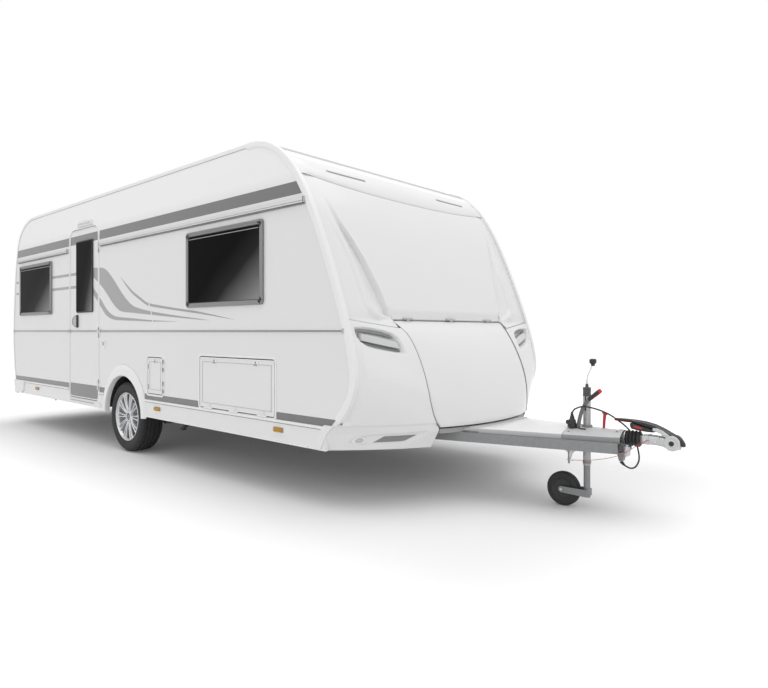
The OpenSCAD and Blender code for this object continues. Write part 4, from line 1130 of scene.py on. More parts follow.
inlet = {"x": -2.558, "z": 0.787, "half": 0.074}
inletRing = softRing("inletFrame", 0.17, 0.17, 0.02, 0.012, 0.005, 0.002)
wear(onSide(inletRing, "left", inlet["x"], inlet["z"]), "caravan", ribWhite)
inletDish = softRing("inletRim", 0.126, 0.126, 0.014, 0.012, 0.004, 0.002)
wear(onSide(inletDish, "left", inlet["x"], inlet["z"]), "inlet_flap", ribWhite)
inletBack = block("inletHousing", (inlet["x"] - inlet["half"], 1.06, inlet["z"] - inlet["half"]),
                  (inlet["x"] + inlet["half"], leftHigh.y - 0.034, inlet["z"] + inlet["half"]))
wear(inletBack, "caravan", softGrey)
inletSocket = turnedAt("inletSocket", [(0.044, 0.0), (0.044, 0.01), (0.041, 0.012), (0.036, 0.012),
                                       (0.035, 0.002), (0.012, 0.002), (0.011, 0.009), (0.0, 0.009)],
                       (inlet["x"], leftHigh.y - 0.036, 0.79), (0, 1, 0), 36)
wear(inletSocket, "caravan", hubBlack)
inletKey = turned("inletKey", [(0.01, 0), (0.01, 0.004), (0.005, 0.005), (0.004, 0.004), (0, 0.004)], 20)
wear(onSide(inletKey, "left", inlet["x"], 0.748), "inlet_flap", frameGrey)
flue = cutSheet("flueCowl", softOutline(0, 0, 0.137, 0.1, (0.02,) * 4), 0.008, 0.003)
wear(onSide(flue, "left", -0.026, 0.93), "caravan", moulding)
mouth = turned("flueMouth", [(0.036, 0), (0.038, 0.014), (0.034, 0.016), (0.028, 0.014), (0.026, 0.004),
                             (0.01, 0.003), (0, 0.003)], 32)
wear(onSide(mouth, "left", -0.026, 0.93, 0.007), "caravan", softGrey)
for k, (x, radius) in enumerate(((0.552, 0.058), (0.318, 0.042))):
    cap = turned(f"fillerCap.{k}", [(radius + 0.008, 0), (radius + 0.008, 0.003), (radius, 0.006),
                                    (radius - 0.006, 0.009), (radius * 0.5, 0.012), (0, 0.013)], 36)
    wear(onSide(cap, "left", x, 0.726), "caravan", moulding)
    key = softPlate(f"fillerKey.{k}", 0.018, 0.018, 0.005, 0.004, 0.002)
    wear(onSide(key, "left", x, 0.726, 0.011), "caravan", frameGrey)
print("side fittings finished")


# swept edge mouldings: a section drawn along an outline, with width measured inwards and height outwards
def along(line, section, side):
    # rows of points: line is (x, z) points, section is (inward, outward) pairs
    rows = []
    sign = -1 if side == "right" else 1
    count = len(line)
    for i, (x, z) in enumerate(line):
        a, b = line[max(0, i - 1)], line[min(count - 1, i + 1)]
        d = Vector((b[0] - a[0], b[1] - a[1])).normalized()
        rows.append([Vector((x - d.y * u, sign * (bodyHalf + out), z + d.x * u)) for u, out in section])
    return rows



def resampled(line, count):
    # evenly spaced points along a line
    lengths = [0.0]
    for a, b in zip(line, line[1:]):
        lengths.append(lengths[-1] + math.dist(a, b))
    points, k = [], 0
    for n in range(count + 1):
        target = lengths[-1] * n / count
        while k < len(line) - 2 and lengths[k + 1] < target:
            k += 1
        t = (target - lengths[k]) / max(lengths[k + 1] - lengths[k], 1e-9)
        points.append(tuple(line[k][j] + (line[k + 1][j] - line[k][j]) * t for j in (0, 1)))
    return points


# the white rib along the front edge of each side, from the skirt to the roof
rib = {"wide": 0.042, "proud": 0.01, "wrap": 0.03}
ribSection = [(-0.005, -rib["wrap"]), (-0.006, 0.003), (-0.002, 0.008), (0.006, rib["proud"]),
              (rib["wide"] - 0.008, rib["proud"]), (rib["wide"], 0.005), (rib["wide"] + 0.001, -0.002)]
ribLine = resampled([p for p in frontEdge if p[1] > 0.552] + [(frontX - 1.12, roofZ)], 64)
# roof and rear edges carry a thinner trim
roofSection = [(-0.004, -0.034), (-0.005, 0.001), (-0.001, 0.004), (0.024, 0.004), (0.027, -0.001)]
roofLine = [p for p in rearEdge if p[1] > 0.5] + [(frontX - 1.11, roofZ)]
for side in ("right", "left"):
    piece = loft("frontRib." + side, along(ribLine, ribSection, side))
    wear(piece, "caravan", ribWhite)
    piece = loft("roofTrim." + side, along(roofLine, [(-u, out) for u, out in roofSection], side))
    wear(piece, "caravan", ribWhite)
    bead = [(-u, out) for u, out in [(0.027, -0.001), (0.027, 0.0018), (0.031, 0.0018), (0.031, -0.001)]]
    # painted shadow: a grey bead just below the trim's edge
    piece = loft("roofTrimSeal." + side, along(roofLine, bead, side))
    wear(piece, "caravan", softGrey)
print("edge trims swept")


# upper front: one skin with a flat middle panel, sunk facets beside it and a ridge round each facet
nose = {
    "panelLine": [(1.24, 0.706), (1.432, 0.745), (1.654, 0.812), (1.79, 0.872), (1.911, 0.935), (2.14, 1.01)],   # z, half width
    "ridgeLine": [(0.7, 1.238), (0.787, 1.256), (0.874, 1.29), (0.912, 1.33), (0.926, 1.38), (0.937, 1.505),
                  (0.95, 1.641), (0.972, 1.744), (0.998, 1.861), (1.03, 2.06)],                              # |y|, z
    "depth": 0.056,
    "ridge": 0.015,
    "ridgeWidth": 0.032,
    "fade": (1.72, 2.14),
}


def lineValue(line, z):
    if z <= line[0][0]:
        return line[0][1]
    for (z0, v0), (z1, v1) in zip(line, line[1:]):
        if z <= z1:
            return v0 + (v1 - v0) * (z - z0) / (z1 - z0)
    return line[-1][1]


def lineDistance(y, z, line):
    best = 9.0
    for (y0, z0), (y1, z1) in zip(line, line[1:]):
        d = Vector((y1 - y0, z1 - z0))
        t = min(1, max(0, Vector((y - y0, z - z0)).dot(d) / d.length_squared))
        best = min(best, math.dist((y, z), (y0 + d.x * t, z0 + d.y * t)))
    return best


def ridgeAt(z):
    return lineValue([(z1, y1) for y1, z1 in nose["ridgeLine"][2:]], z)


def frontSkin(y, z):
    # outer surface of the upper front
    inside = abs(y)
    fade = 1 - ease(*nose["fade"], z)
    toPanel = inside - lineValue(nose["panelLine"], z)
    toRidge = lineDistance(inside, z, nose["ridgeLine"])
    footLine = 1.243 + 0.115 * max(0, (inside - 0.7) / 0.223) ** 3
    sunk = 0.0
    if toPanel > 0 and inside < ridgeAt(z) and z > footLine:
        share = toPanel / (toPanel + toRidge)
        sunk = -nose["depth"] * (1 - share) * ease(0, 0.016, toPanel) * ease(0, 0.03, toRidge)
    ridge = nose["ridge"] * max(0, 1 - (toRidge / nose["ridgeWidth"]) ** 2) * ease(0.69, 0.73, inside)
    shoulder = -0.012 * ease(1.0, 1.128, inside)
    return noseTop(y, z) + (sunk + ridge) * fade + shoulder


def noseTop(y, z):
    # the upper front, run smoothly into the bulge of the lower front
    if z <= lidHigh:
        return noseX(y, z)
    return frontAt(z) + (noseX(y, lidHigh) - frontAt(lidHigh)) * (1 - ease(lidHigh, lidHigh + 0.08, z))


def shellLow(y):
    # lower edge of the shell: over the lid, and down beside its corners
    if abs(y) < 0.7035:
        return lidHigh + 0.006
    return cornerTop(abs(y)) + 0.005


def cornerTop(y):
    return 1.186 + 0.05 * min(1, max(0, (y - 0.72) / 0.4))


def gridRows(xs, zs, place):
    return [[Vector(place(x, z)) for x in xs] for z in zs]


def steps(a, b, n):
    return [a + (b - a) * k / n for k in range(n + 1)]


def shellPoint(y, t):
    low = shellLow(y)
    z = low + (seamZ + 0.004 - low) * t
    return (frontSkin(y, z), y, z)


half = steps(0, 0.698, 40) + [0.7, 0.707] + steps(0.713, 1.02, 74) + steps(1.026, innerHalf + 0.002, 10)
yLines = [-y for y in half[:0:-1]] + half
tLines = steps(0, 0.12, 22) + steps(0.125, 0.55, 50) + steps(0.56, 1, 26)
piece = loft("frontSkin", gridRows(yLines, tLines, shellPoint), ring=False, angle=60)
piece = modify(piece, "SOLIDIFY", thickness=0.02, offset=-1)
piece = settle(piece, 50)
wear(piece, "caravan", moulding)

# knuckles of the lid's hinges, which the CAD panel carries
lidHinge = {"x": frontX - 0.102, "places": (-0.52, 0, 0.52)}
knuckles = smoothCopy("lidKnuckles", "front_panel")
edit(knuckles)
shellZ = lidHigh + 0.0225
choose(knuckles, lambda m, v: not (v.co.z < shellZ and any(abs(v.co.y - y) < 0.06 for y in lidHinge["places"])
                                   and abs(v.co.x - lidHinge["x"]) < 0.026), "VERT")
bpy.ops.mesh.delete(type="VERT")
bpy.ops.object.mode_set(mode="OBJECT")
wear(knuckles, "caravan", softGrey)
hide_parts("front_panel")
print("upper front skinned")


# eyebrow over the front panel, with its two dark slots
brow = {"low": 2.196, "sides": 0.058, "high": 2.395, "half": 1.122, "out": 0.02, "slot": (0.447, 0.857)}


def browLow(y):
    # the seam under the eyebrow dips towards the middle line
    return brow["low"] + brow["sides"] * (abs(y) / brow["half"]) ** 2.5


def browPoint(y, t):
    z = browLow(y) + (brow["high"] - browLow(y)) * t
    swell = math.sin(math.pi * min(1, t * 1.02)) ** 0.7 if 0 < t < 0.98 else 0
    ends = 1 - ease(0.93, 1.0, abs(y) / brow["half"])
    dip = 0.0
    near = (abs(y) - brow["slot"][0]) / (brow["slot"][1] - brow["slot"][0])
    if -0.05 < near < 1.05:
        level = 0.6 - 0.05 * near
        dip = 0.01 * math.exp(-((t - level) / 0.055) ** 2) * ease(-0.05, 0.06,
                near) * (1 - ease(0.94, 1.05, near))
    return (frontAt(z) + 0.001 + (brow["out"] * swell - dip) * ends, y, z)


rowsT = [0, 0.02, 0.06, 0.12] + steps(0.2, 0.9, 34) + [0.95, 0.98, 1.0]
piece = loft("frontBrow", gridRows(steps(-brow["half"], brow["half"], 120), rowsT, lambda y,
                                   t: browPoint(y, t)), ring=False, angle=60)
piece = modify(piece, "SOLIDIFY", thickness=0.006, offset=-1)
wear(settle(piece, 50), "caravan", moulding)
for side, tag in bothSides:
    def slotPoint(u, v, side=side):
        y = side * (brow["slot"][0] + (brow["slot"][1] - brow["slot"][0]) * u)
        x, y, z = browPoint(y, 0.6 - 0.05 * u + (v - 0.5) * 0.075)
        return (x + 0.0015, y, z)
    slot = loft("browSlot" + tag, gridRows(steps(0.01, 0.99, 24), steps(0, 1, 4), slotPoint), ring=False)
    slot = modify(slot, "SOLIDIFY", thickness=0.002, offset=-1)
    wear(settle(slot, 50), "caravan", frameGrey)
seamLine = [(browPoint(y, 0)[0] + 0.001, y, browLow(y) - 0.003) for y in steps(-1.1, 1.1, 60)]


def cord3d(name, points, radius, sides=8):
    # a thin round line through points, used for seams and beads
    rows = []
    for i, p in enumerate(points):
        d = (Vector(points[min(len(points) - 1, i + 1)]) - Vector(points[max(0, i - 1)])).normalized()
        a = d.cross(Vector((1, 0, 0)) if abs(d.x) < 0.8 else Vector((0, 0, 1))).normalized()
        b = d.cross(a)
        rows.append([Vector(p) + radius * (a * math.cos(2 * math.pi * k / sides)
                                           + b * math.sin(2 * math.pi * k / sides)) for k in range(sides)])
    return loft(name, rows, angle=60)


wear(cord3d("browSeam", seamLine, 0.0013, 6), "caravan", paleGrille)

# grey edge strip where the roof sheet laps over the front
strip = steps(2.452, 2.49, 8)
rows = gridRows(steps(-1.118, 1.118, 12), strip, lambda y,
                z: (frontAt(z) + 0.004 * math.sin(math.pi * (z - 2.4515) / 0.039), y, z))
piece = settle(modify(loft("roofLapStrip", rows, ring=False), "SOLIDIFY", thickness=0.004, offset=-1), 50)
wear(piece, "caravan", softGrey)
print("eyebrow fitted")


# lower front corners, with a lamp-shaped recess and the apron
lampShape = {   # as (y, z) of the right corner, mirrored for the left
    "outline": [(-1.106, 1.19), (-1.03, 1.193), (-0.95, 1.187), (-0.86, 1.173), (-0.795, 1.153), (-0.757, 1.122), (-0.745, 1.07),
                (-0.74, 1.005), (-0.8, 1.01), (-0.896, 1.026), (-0.965, 1.04), (-1.03, 1.058), (-1.082, 1.092), (-1.108, 1.14)],
    "depth": 0.058,
}


def insideShape(y, z, outline):
    hit = False
    for (y0, z0), (y1, z1) in zip(outline, outline[1:] + outline[:1]):
        if (z0 > z) != (z1 > z) and y < y0 + (y1 - y0) * (z - z0) / (z1 - z0):
            hit = not hit
    return hit


def edgeDistance(y, z, outline):
    return lineDistance(y, z, outline + outline[:1])

apronShape = [(-1.06, 0.432), (-1.03, 0.478), (-0.96, 0.492), (-0.8, 0.498), (-0.64, 0.508), (-0.66, 0.47),
              (-0.74, 0.432), (-0.86, 0.418), (-0.98, 0.414)]


def cornerSkin(y, z):
    # outer surface of a lower corner; y is negative
    x = noseX(y, z)
    if insideShape(y, z, lampShape["outline"]):
        x -= lampShape["depth"] * ease(0, 0.028, edgeDistance(y, z, lampShape["outline"]))
    if insideShape(y, z, apronShape):
        x -= 0.016 * ease(0, 0.012, edgeDistance(y, z, apronShape))
    flank = ease(1.075, 1.13, abs(y)) * ease(0.545, 0.6, z)      # the flank runs back to the rib
    x += (frontAt(max(z, edgeFoot)) + 0.003 - x) * flank
    return x - 0.01 * (1 - ease(0.546, 0.556, z))


lidEdge = [(0.522, 0.575), (0.56, 0.602), (0.615, 0.624), (0.7, 0.641), (0.8, 0.648), (0.95, 0.65), (1.06, 0.65),
           (1.12, 0.654), (1.158, 0.663), (1.19, 0.68), (1.215, 0.695), (1.242, 0.7)]   # z, half width of the lid


def cornerPoint(u, t):
    # t runs up from the apron's lower edge; the outer edge wraps onto the side below the wall
    z = 0.385 + t * 0.8
    outer = bodyHalf + 0.007 - (bodyHalf + 0.005 - innerHalf) * ease(0.548, 0.56, z)
    y = -outer + (outer - 0.0065 - lineValue(lidEdge, max(z, lidLow))) * u
    if t > 0.9:
        z += (cornerTop(-y) - 1.185) * ease(0.9, 1, t)
    return (cornerSkin(y, z), y, z)


cornerRows = [0, 0.002, 0.008] + steps(0.016, 1, 140)
corner = loft("frontCorner.right", gridRows(steps(0, 1, 110), cornerRows, cornerPoint), ring=False, angle=60)
corner = settle(modify(corner, "SOLIDIFY", thickness=0.012, offset=-1), 48)
leftCorner = settle(copied(corner, "frontCorner.left", acrossY), 48)
for piece in (corner, leftCorner):
    wear(piece, "caravan", moulding)
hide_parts("front_corners")


# pieces laid on a curved end: a flat cut in (y, z), divided, then moved onto the surface
def laidOn(name, outline, surface, outward, lift, depth, finish,
           sides=("right", "left"), edge=0.001, cuts=(14, 8), triangles=False):
    made = []
    piece = cutSheet(name, outline, depth, edge)
    edit(piece)
    if triangles:
        bpy.ops.mesh.select_all(action="SELECT")
        bpy.ops.mesh.quads_convert_to_tris()
    for axis, count in ((0, cuts[0]), (1, cuts[1])):
        low, high = min(p[axis] for p in outline), max(p[axis] for p in outline)
        for place in steps(low, high, count)[1:-1]:
            bpy.ops.mesh.select_all(action="SELECT")
            plane = (place, 0, 0) if axis == 0 else (0, place, 0)
            bpy.ops.mesh.bisect(plane_co=plane, plane_no=(1, 0, 0) if axis == 0 else (0, 1, 0))
    bpy.ops.object.mode_set(mode="OBJECT")
    for vertex in piece.data.vertices:
        y, z, out = vertex.co
        vertex.co = (surface(y, z) + outward * (lift + out), y, z)
    settle(piece, 40)
    for side in sides:
        one = piece if side == sides[-1] else copied(piece, name + ".copy")
        if side == "left":
            one.data.transform(acrossY)
            settle(one, 40)
        made.append(wear(rename(one, name + "." + side if len(sides) > 1 else name), "caravan", finish))
    return made

def onNose(name, outline, lift, depth, finish, edge=0.001):
    laidOn(name, outline, noseX, 1, lift, depth, finish, edge=edge, triangles=True)

insertShape = [(-1.047, 1.15), (-0.95, 1.132), (-0.86, 1.112), (-0.775, 1.092), (-0.768, 1.046),
               (-0.86, 1.062), (-0.96, 1.083), (-1.058, 1.104)]
onNose("lampInsert", insertShape, -0.046, 0.03, silverInsert, edge=0.006)
darkShape = [(-1.07, 1.112), (-1.058, 1.098), (-0.96, 1.077), (-0.86, 1.056), (-0.762, 1.04),
             (-0.76, 1.026), (-0.86, 1.036), (-0.96, 1.052), (-1.04, 1.072)]
onNose("lampShadow", darkShape, -0.05, 0.012, frameGrey, edge=0.003)
# painted shade: a grey strip along the top of the lamp recess stands for the shade under its upper edge
upperShade = [(-1.092, 1.18), (-1.03, 1.183), (-0.95, 1.178), (-0.86, 1.164), (-0.8, 1.145), (-0.772, 1.12),
              (-0.79, 1.118), (-0.86, 1.136), (-0.95, 1.152), (-1.05, 1.163), (-1.078, 1.15)]
onNose("lampBrow", upperShade, -0.044, 0.012, greyPlastic, edge=0.003)

# apron: round position lamp and slot
ring = [(-1.005 + 0.03 * math.cos(a), 0.452 + 0.027 * math.sin(a)) for a in steps(0, 2 * math.pi, 24)[:-1]]
onNose("positionLampRing", ring, -0.026, 0.016, ribWhite, edge=0.003)
ring = [(-1.005 + 0.02 * math.cos(a), 0.452 + 0.018 * math.sin(a)) for a in steps(0, 2 * math.pi, 24)[:-1]]
onNose("positionLamp", ring, -0.012, 0.006, clearLens, edge=0.003)
onNose("apronSlot", [(-0.925, 0.434), (-0.76, 0.438), (-0.7, 0.48), (-0.88, 0.476)], -0.027, 0.003,
       frameGrey)

# the slanted ends of the skirts, where they meet the front corners
slant = [(2.7, 0.386), (2.866, 0.556), (2.955, 0.556), (2.893, 0.5), (2.831, 0.386)]
for side in ("right", "left"):
    wear(sideSheet("skirtEnd." + side, side, slant, 0.012, 0.002, 0.004), "caravan", moulding)
print("lower front finished")


# gas locker lid with a soft crease and a rolled rim
def lidSkin(u, z):
    y = u * (lineValue(lidEdge, z) - 0.001)
    rim = 0.006 * (1 - ease(0, 0.02, min((1 - abs(u)) * 0.6, lidHigh - 0.005 - z, z - lidLow)))
    crease = 0.004 * ease(1.16, 1.19, z)
    return (noseX(y, z) - rim - crease, y, z)


us = [-1, -0.996, -0.988] + steps(-0.975, 0.975, 72) + [0.988, 0.996, 1]
zs = [lidLow + 0.001, lidLow + 0.003, lidLow + 0.008] + steps(lidLow + 0.016, lidHigh - 0.024,
        48) + [lidHigh - 0.014, lidHigh - 0.009, lidHigh - 0.006]
lid = loft("lockerLid", gridRows(us, zs, lidSkin), ring=False, angle=60)
lid = settle(modify(lid, "SOLIDIFY", thickness=0.018, offset=-1), 48)
wear(lid, "gas_locker_lid", moulding)
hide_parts("gas_locker_lid")
lidKnuckles = smoothCopy("lidHingeKnuckles", "gas_locker_lid")
edit(lidKnuckles)
choose(lidKnuckles, lambda m, v: not any(abs(v.co.y - y) < 0.018 for y in lidHinge["places"])
       or v.co.z < lidHigh - 0.02 or abs(v.co.x - lidHinge["x"]) > 0.024, "VERT")
bpy.ops.mesh.delete(type="VERT")
bpy.ops.object.mode_set(mode="OBJECT")
wear(lidKnuckles, "gas_locker_lid", softGrey)
edgeLine = [(noseX(lineValue(lidEdge, z), z), lineValue(lidEdge, z) + 0.0027, z)
            for z in steps(lidHigh - 0.004, lidLow + 0.004, 50)]
for side, tag in bothSides:
    points = [(x - 0.004, side * (y + 0.0008), z) for x, y, z in edgeLine]
    wear(cord3d("lidSeal" + tag, points, 0.0046, 8), "caravan", frameGrey)
    points = []
    for y in steps(0.712, 1.118, 40):
        z = cornerTop(y) + 0.0025
        points.append((noseX(y, z) - 0.004, side * y, z))
    wear(cord3d("cornerSeam" + tag, points, 0.0022, 6), "caravan", softGrey)
points = [(noseX(y, lidHigh) - 0.0055, y, lidHigh + 0.0012) for y in steps(-0.7, 0.7, 40)]
wear(cord3d("seamRubber", points, 0.0044, 8), "caravan", softGrey)
print("locker lid finished")


# gas locker: bulkhead, shelf and a tray whose front follows the nose
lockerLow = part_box("gas_locker")[0]
trayTop = lidLow - 0.012
trayHalf = 0.56
trayLine = [(noseX(y, lidLow) - 0.03, y) for y in steps(-trayHalf, trayHalf, 36)]
tray = cutSheet("lockerTray", [(lockerLow.x + 0.322, -trayHalf)] + trayLine
                + [(lockerLow.x + 0.322, trayHalf)], trayTop - 0.478, 0.004)
moved(tray, 0, 0, 0.478)
shelfFront = frontAt(lidHigh) - 0.09
bulkhead = block("lockerBulkhead", (lockerLow.x, -innerHalf + 0.002, 0.545),
                 (lockerLow.x + 0.022, innerHalf - 0.002, lidHigh))
shelf = block("lockerShelf", (lockerLow.x, -innerHalf + 0.002, lidHigh),
              (shelfFront, innerHalf - 0.002, lidHigh + 0.014))
ribs = [block(f"lockerRib.{k}", (lockerLow.x + 0.022, y - 0.01, 0.56),
              (lockerLow.x + 0.034, y + 0.01, lidHigh - 0.02)) for k,
        y in enumerate((-0.8, -0.4, 0, 0.4, 0.8))]
locker = merged("gasLocker", [tray, bulkhead, shelf] + ribs)
wear(locker, "caravan", lockerBoard)
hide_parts("gas_locker")
print("gas locker lined")


# wheels, turned round their own axis and set up on the right, then mirrored
tread = {
    "around": 160,
    "grooves": (0.06, 0.021),     # distance of the grooves from the middle
    "grooveDepth": 0.0075,
    "radius": tyreHigh.z - wheelZ,
}
flank = [(0.22, 0.078), (0.2275, 0.0905), (0.235, 0.0965), (0.2385, 0.0982), (0.242, 0.0975),
         (0.244, 0.0996), (0.256, 0.1068), (0.262, 0.1092), (0.264, 0.1104), (0.266, 0.11), (0.276, 0.1122),
         (0.288, 0.1124), (0.299, 0.1108), (0.301, 0.1114), (0.3035, 0.11), (0.315, 0.104), (0.324, 0.0965),
         (0.329, 0.0905), (0.3318, 0.085), (0.3336, 0.079), (0.335, 0.0715)]
crown = []
for place in tread["grooves"]:
    top = tread["radius"] - 0.0022 * (place / 0.06) ** 2
    crown += [(top, place + 0.0055), (top - tread["grooveDepth"], place + 0.0042),
              (top - tread["grooveDepth"], place - 0.0042), (top + 0.0004, place - 0.0055)]
outer = flank + crown
tyreProfile = outer + [(tread["radius"], 0.0)] + [(r, -z) for r, z in outer[::-1]] + [(0.214, -0.06),
        (0.212, 0.0), (0.214, 0.06), outer[0]]
tyre = turned("tyre.right", tyreProfile, tread["around"], 40)
for vertex in tyre.data.vertices:
    # sipes across the shoulders and ribs: every fourth step of the ring is drawn in
    radius = math.hypot(vertex.co.x, vertex.co.y)
    step = round(math.atan2(vertex.co.y, vertex.co.x) / (2 * math.pi) * tread["around"])
    across = abs(vertex.co.z)
    shoulder = 0.064 < across < 0.086 and radius > 0.328
    middle = across < 0.056 and radius > tread["radius"] - 0.004
    if (shoulder and (step + (vertex.co.z > 0)) % 4 == 0) or (middle and (step + 2) % 8 == 0):
        factor = (radius - (0.0045 if shoulder else 0.003)) / radius
        vertex.co.x *= factor
        vertex.co.y *= factor
settle(tyre, 28)

rimShape = {
    "pairs": 10,
    "spread": 6.2,       # half angle between the two spokes of a pair, at the rim
    "root": 3.4,         # and at the hub
    "bolts": 5,
    "boltRadius": 0.056,
}
barrel = turned("rimBarrel", [(0.2285, 0.089), (0.2325, 0.0935), (0.2335, 0.0985), (0.2315, 0.1018),
                              (0.2275, 0.1022), (0.2245, 0.0995), (0.2235, 0.094), (0.2205, 0.088),
                              (0.216, 0.084), (0.2135, 0.076), (0.211, 0.056), (0.204, 0.03),
                              (0.198, 0.005), (0.197, -0.05), (0.205, -0.08), (0.217, -0.096),
                              (0.229, -0.1), (0.23, -0.093), (0.218, -0.085), (0.211, -0.07),
                              (0.205, -0.045), (0.206, 0.005), (0.212, 0.03), (0.218, 0.056), (0.22, 0.078),
                              (0.2285, 0.089)], 96, 40)
parts = [barrel]
# radius, height of the face, half width, depth
spokeRows = [(0.05, 0.079, 0.0085, 0.024), (0.066, 0.0835, 0.008, 0.024), (0.09, 0.088, 0.0068, 0.022),
             (0.125, 0.0915, 0.0062, 0.02), (0.165, 0.093, 0.0063, 0.019), (0.195, 0.0925, 0.0074, 0.018),
             (0.212, 0.0915, 0.01, 0.018), (0.2215, 0.09, 0.014, 0.02)]
for k in range(rimShape["pairs"]):
    for sign in (-1, 1):
        rows = []
        for radius, top, half, deep in spokeRows:
            t = (radius - 0.05) / 0.1715
            angle = math.radians(k * 360 / rimShape["pairs"]
                                 + sign * (rimShape["root"] + (rimShape["spread"] - rimShape["root"]) * t)
                                 + sign * (2.6 * (1 - t) ** 2))
            out = Vector((math.cos(angle), math.sin(angle), 0))
            side = Vector((-math.sin(angle), math.cos(angle), 0))
            section = [(-half * 1.15, -deep), (-half * 1.05, -0.005), (-half * 0.72, -0.0012), (0, 0.0006),
                       (half * 0.72, -0.0012), (half * 1.05, -0.005), (half * 1.15, -deep)]
            rows.append([out * radius + side * u + Vector((0, 0, top + v)) for u, v in section])
        parts.append(loft("spoke", rows, angle=45))
parts.append(turned("rimHub", [(0.072, 0.05), (0.0735, 0.064), (0.07, 0.0745), (0.061, 0.0795),
                               (0.05, 0.0815), (0.042, 0.0845), (0.0365, 0.085), (0.034, 0.083),
                               (0.0335, 0.074), (0.03, 0.0725), (0.0, 0.0725)], 60, 40))
rim = merged("rim.right", parts)
settle(rim, 40)

boltParts, pocketParts = [], []
for k in range(rimShape["bolts"]):
    angle = math.radians(k * 360 / rimShape["bolts"] + 18)
    x, y = rimShape["boltRadius"] * math.cos(angle), rimShape["boltRadius"] * math.sin(angle)
    pocket = turned("boltPocket", [(0.0118, 0.079), (0.0112, 0.0822), (0.0098, 0.0826), (0.009, 0.0795),
                                   (0.0, 0.0785)], 24)
    head = turned("boltHead", [(0.0078, 0.074), (0.0078, 0.0822), (0.0066, 0.0838), (0.004, 0.0838),
                               (0.0036, 0.0815), (0.0, 0.0812)], 6, 25)
    for piece, group in ((pocket, pocketParts), (head, boltParts)):
        moved(piece, x, y, 0)
        group.append(piece)
pockets = merged("boltPockets.right", pocketParts)
bolts = merged("wheelBolts.right", boltParts)
cap = turned("centreCap.right", [(0.033, 0.073), (0.0325, 0.0765), (0.03, 0.0775), (0.0275, 0.0765),
                                 (0.012, 0.075), (0.0, 0.0748)], 48)
drum = turned("brakeDrum.right", [(0.128, -0.045), (0.13, 0.02), (0.126, 0.0295), (0.112, 0.032),
                                  (0.108, 0.029), (0.07, 0.03), (0.066, 0.047), (0.0, 0.048)], 64)
# painted shade: a black ring deep inside the rim
well = turned("rimShade.right", [(0.1955, -0.048), (0.13, -0.046), (0.13, -0.049), (0.1955, -0.051),
                                 (0.1955, -0.048)], 64)
stem = turned("valveStem.right", [(0.0045, 0.0), (0.0045, 0.012), (0.0034, 0.014), (0.0036, 0.026),
                                  (0.0028, 0.0275), (0.0, 0.0275)], 16)
stem.data.transform(Matrix.Translation((0, -0.205, 0.07)) @ Matrix.Rotation(math.radians(-14), 4, "X"))
wheelParts = [(tyre, tyreRubber, "tyre_rubber", "tyre"), (rim, alloy, "alloy", "rim"),
              (pockets, frameGrey, "alloy", None), (bolts, brightSteel, "alloy", None),
              (cap, frameGrey, "alloy", None), (drum, castSteel, "galvanised_steel", None),
              (well, paintedShadowBlack, "black_plastic", None), (stem, blackPlastic, "black_plastic", None)]
for piece, finish, slot, node in wheelParts:
    face(piece, "right", (wheelX, wheelY, wheelZ))
    other = settle(copied(piece, piece.name.replace("right", "left"), acrossY), 28 if piece is tyre else 40)
    for one, side in ((piece, "right"), (other, "left")):
        wear(one, "wheel_" + side, finish)
        if node:
            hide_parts(node + "_" + side)
print("wheels turned")


# wheel arch trims: a crescent with a rolled lip, a flat face and a bevelled outer step
arch = {"x": wheelX + 0.03, "outerZ": 0.398, "outerR": 0.446, "holeZ": 0.362, "holeR": 0.374, "low": 0.363,
        "proud": 0.022}


def archPoint(angle, share):
    # point between the opening (0) and the outer edge (1) of the crescent
    a = math.radians(angle)
    inner = Vector((arch["holeR"] * math.cos(a), arch["holeZ"] + arch["holeR"] * math.sin(a)))
    rim = Vector((arch["outerR"] * math.cos(a), arch["outerZ"] + arch["outerR"] * math.sin(a)))
    if rim.y < arch["low"] or inner.y < arch["low"]:
        inner.y, rim.y = max(inner.y, arch["low"]), max(rim.y, arch["low"])
        inner.x = math.copysign(math.sqrt(max(arch["holeR"] ** 2 - (inner.y - arch["holeZ"]) ** 2, 0)),
                                math.cos(a))
        rim.x = math.copysign(math.sqrt(max(arch["outerR"] ** 2 - (rim.y - arch["outerZ"]) ** 2, 0)),
                              math.cos(a))
    return inner + (rim - inner) * share


archSection = [   # share across the crescent, height out of the wall
    (0.0, -0.03), (0.0, 0.012), (0.02, 0.018), (0.07, 0.0215), (0.14, 0.022), (0.66, 0.0185), (0.74, 0.0165), (0.8, 0.0115),
    (0.86, 0.0105), (0.94, 0.0095), (0.985, 0.0065), (1.0, 0.0005)]
for side in ("right", "left"):
    sign = -1 if side == "right" else 1
    rows = []
    for angle in steps(-4, 184, 94):
        row = []
        for share, out in archSection:
            p = archPoint(angle, share)
            row.append(Vector((arch["x"] + p.x, sign * (bodyHalf + out), p.y)))
        rows.append(row)
    trim = loft("archTrim." + side, rows, ring=False, angle=40)
    trim = settle(modify(trim, "SOLIDIFY", thickness=0.0028, offset=-1), 34)
    wear(trim, "caravan", ribWhite)
    if side == "right":
        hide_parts("arch_trims")
    seal = [archPoint(angle, 1.0) for angle in steps(4, 176, 80)]
    points = [(arch["x"] + p.x, sign * (bodyHalf + 0.0008), p.y) for p in seal]
    wear(cord3d("archSeal." + side, points, 0.0016, 6), "caravan", softGrey)
print("arch trims finished")


# drawbar pieces drawn along a path: each station is a centre, half its width and half its height
def blockRing(centre, wide, high, squareness=4.0, points=20):
    ring = []
    for k in range(points):
        a = 2 * math.pi * (k + 0.5) / points
        c, s = math.cos(a), math.sin(a)
        scale = (abs(c) ** squareness + abs(s) ** squareness) ** (-1 / squareness)
        ring.append(Vector(centre) + Vector(wide) * c * scale + Vector(high) * s * scale)
    return ring


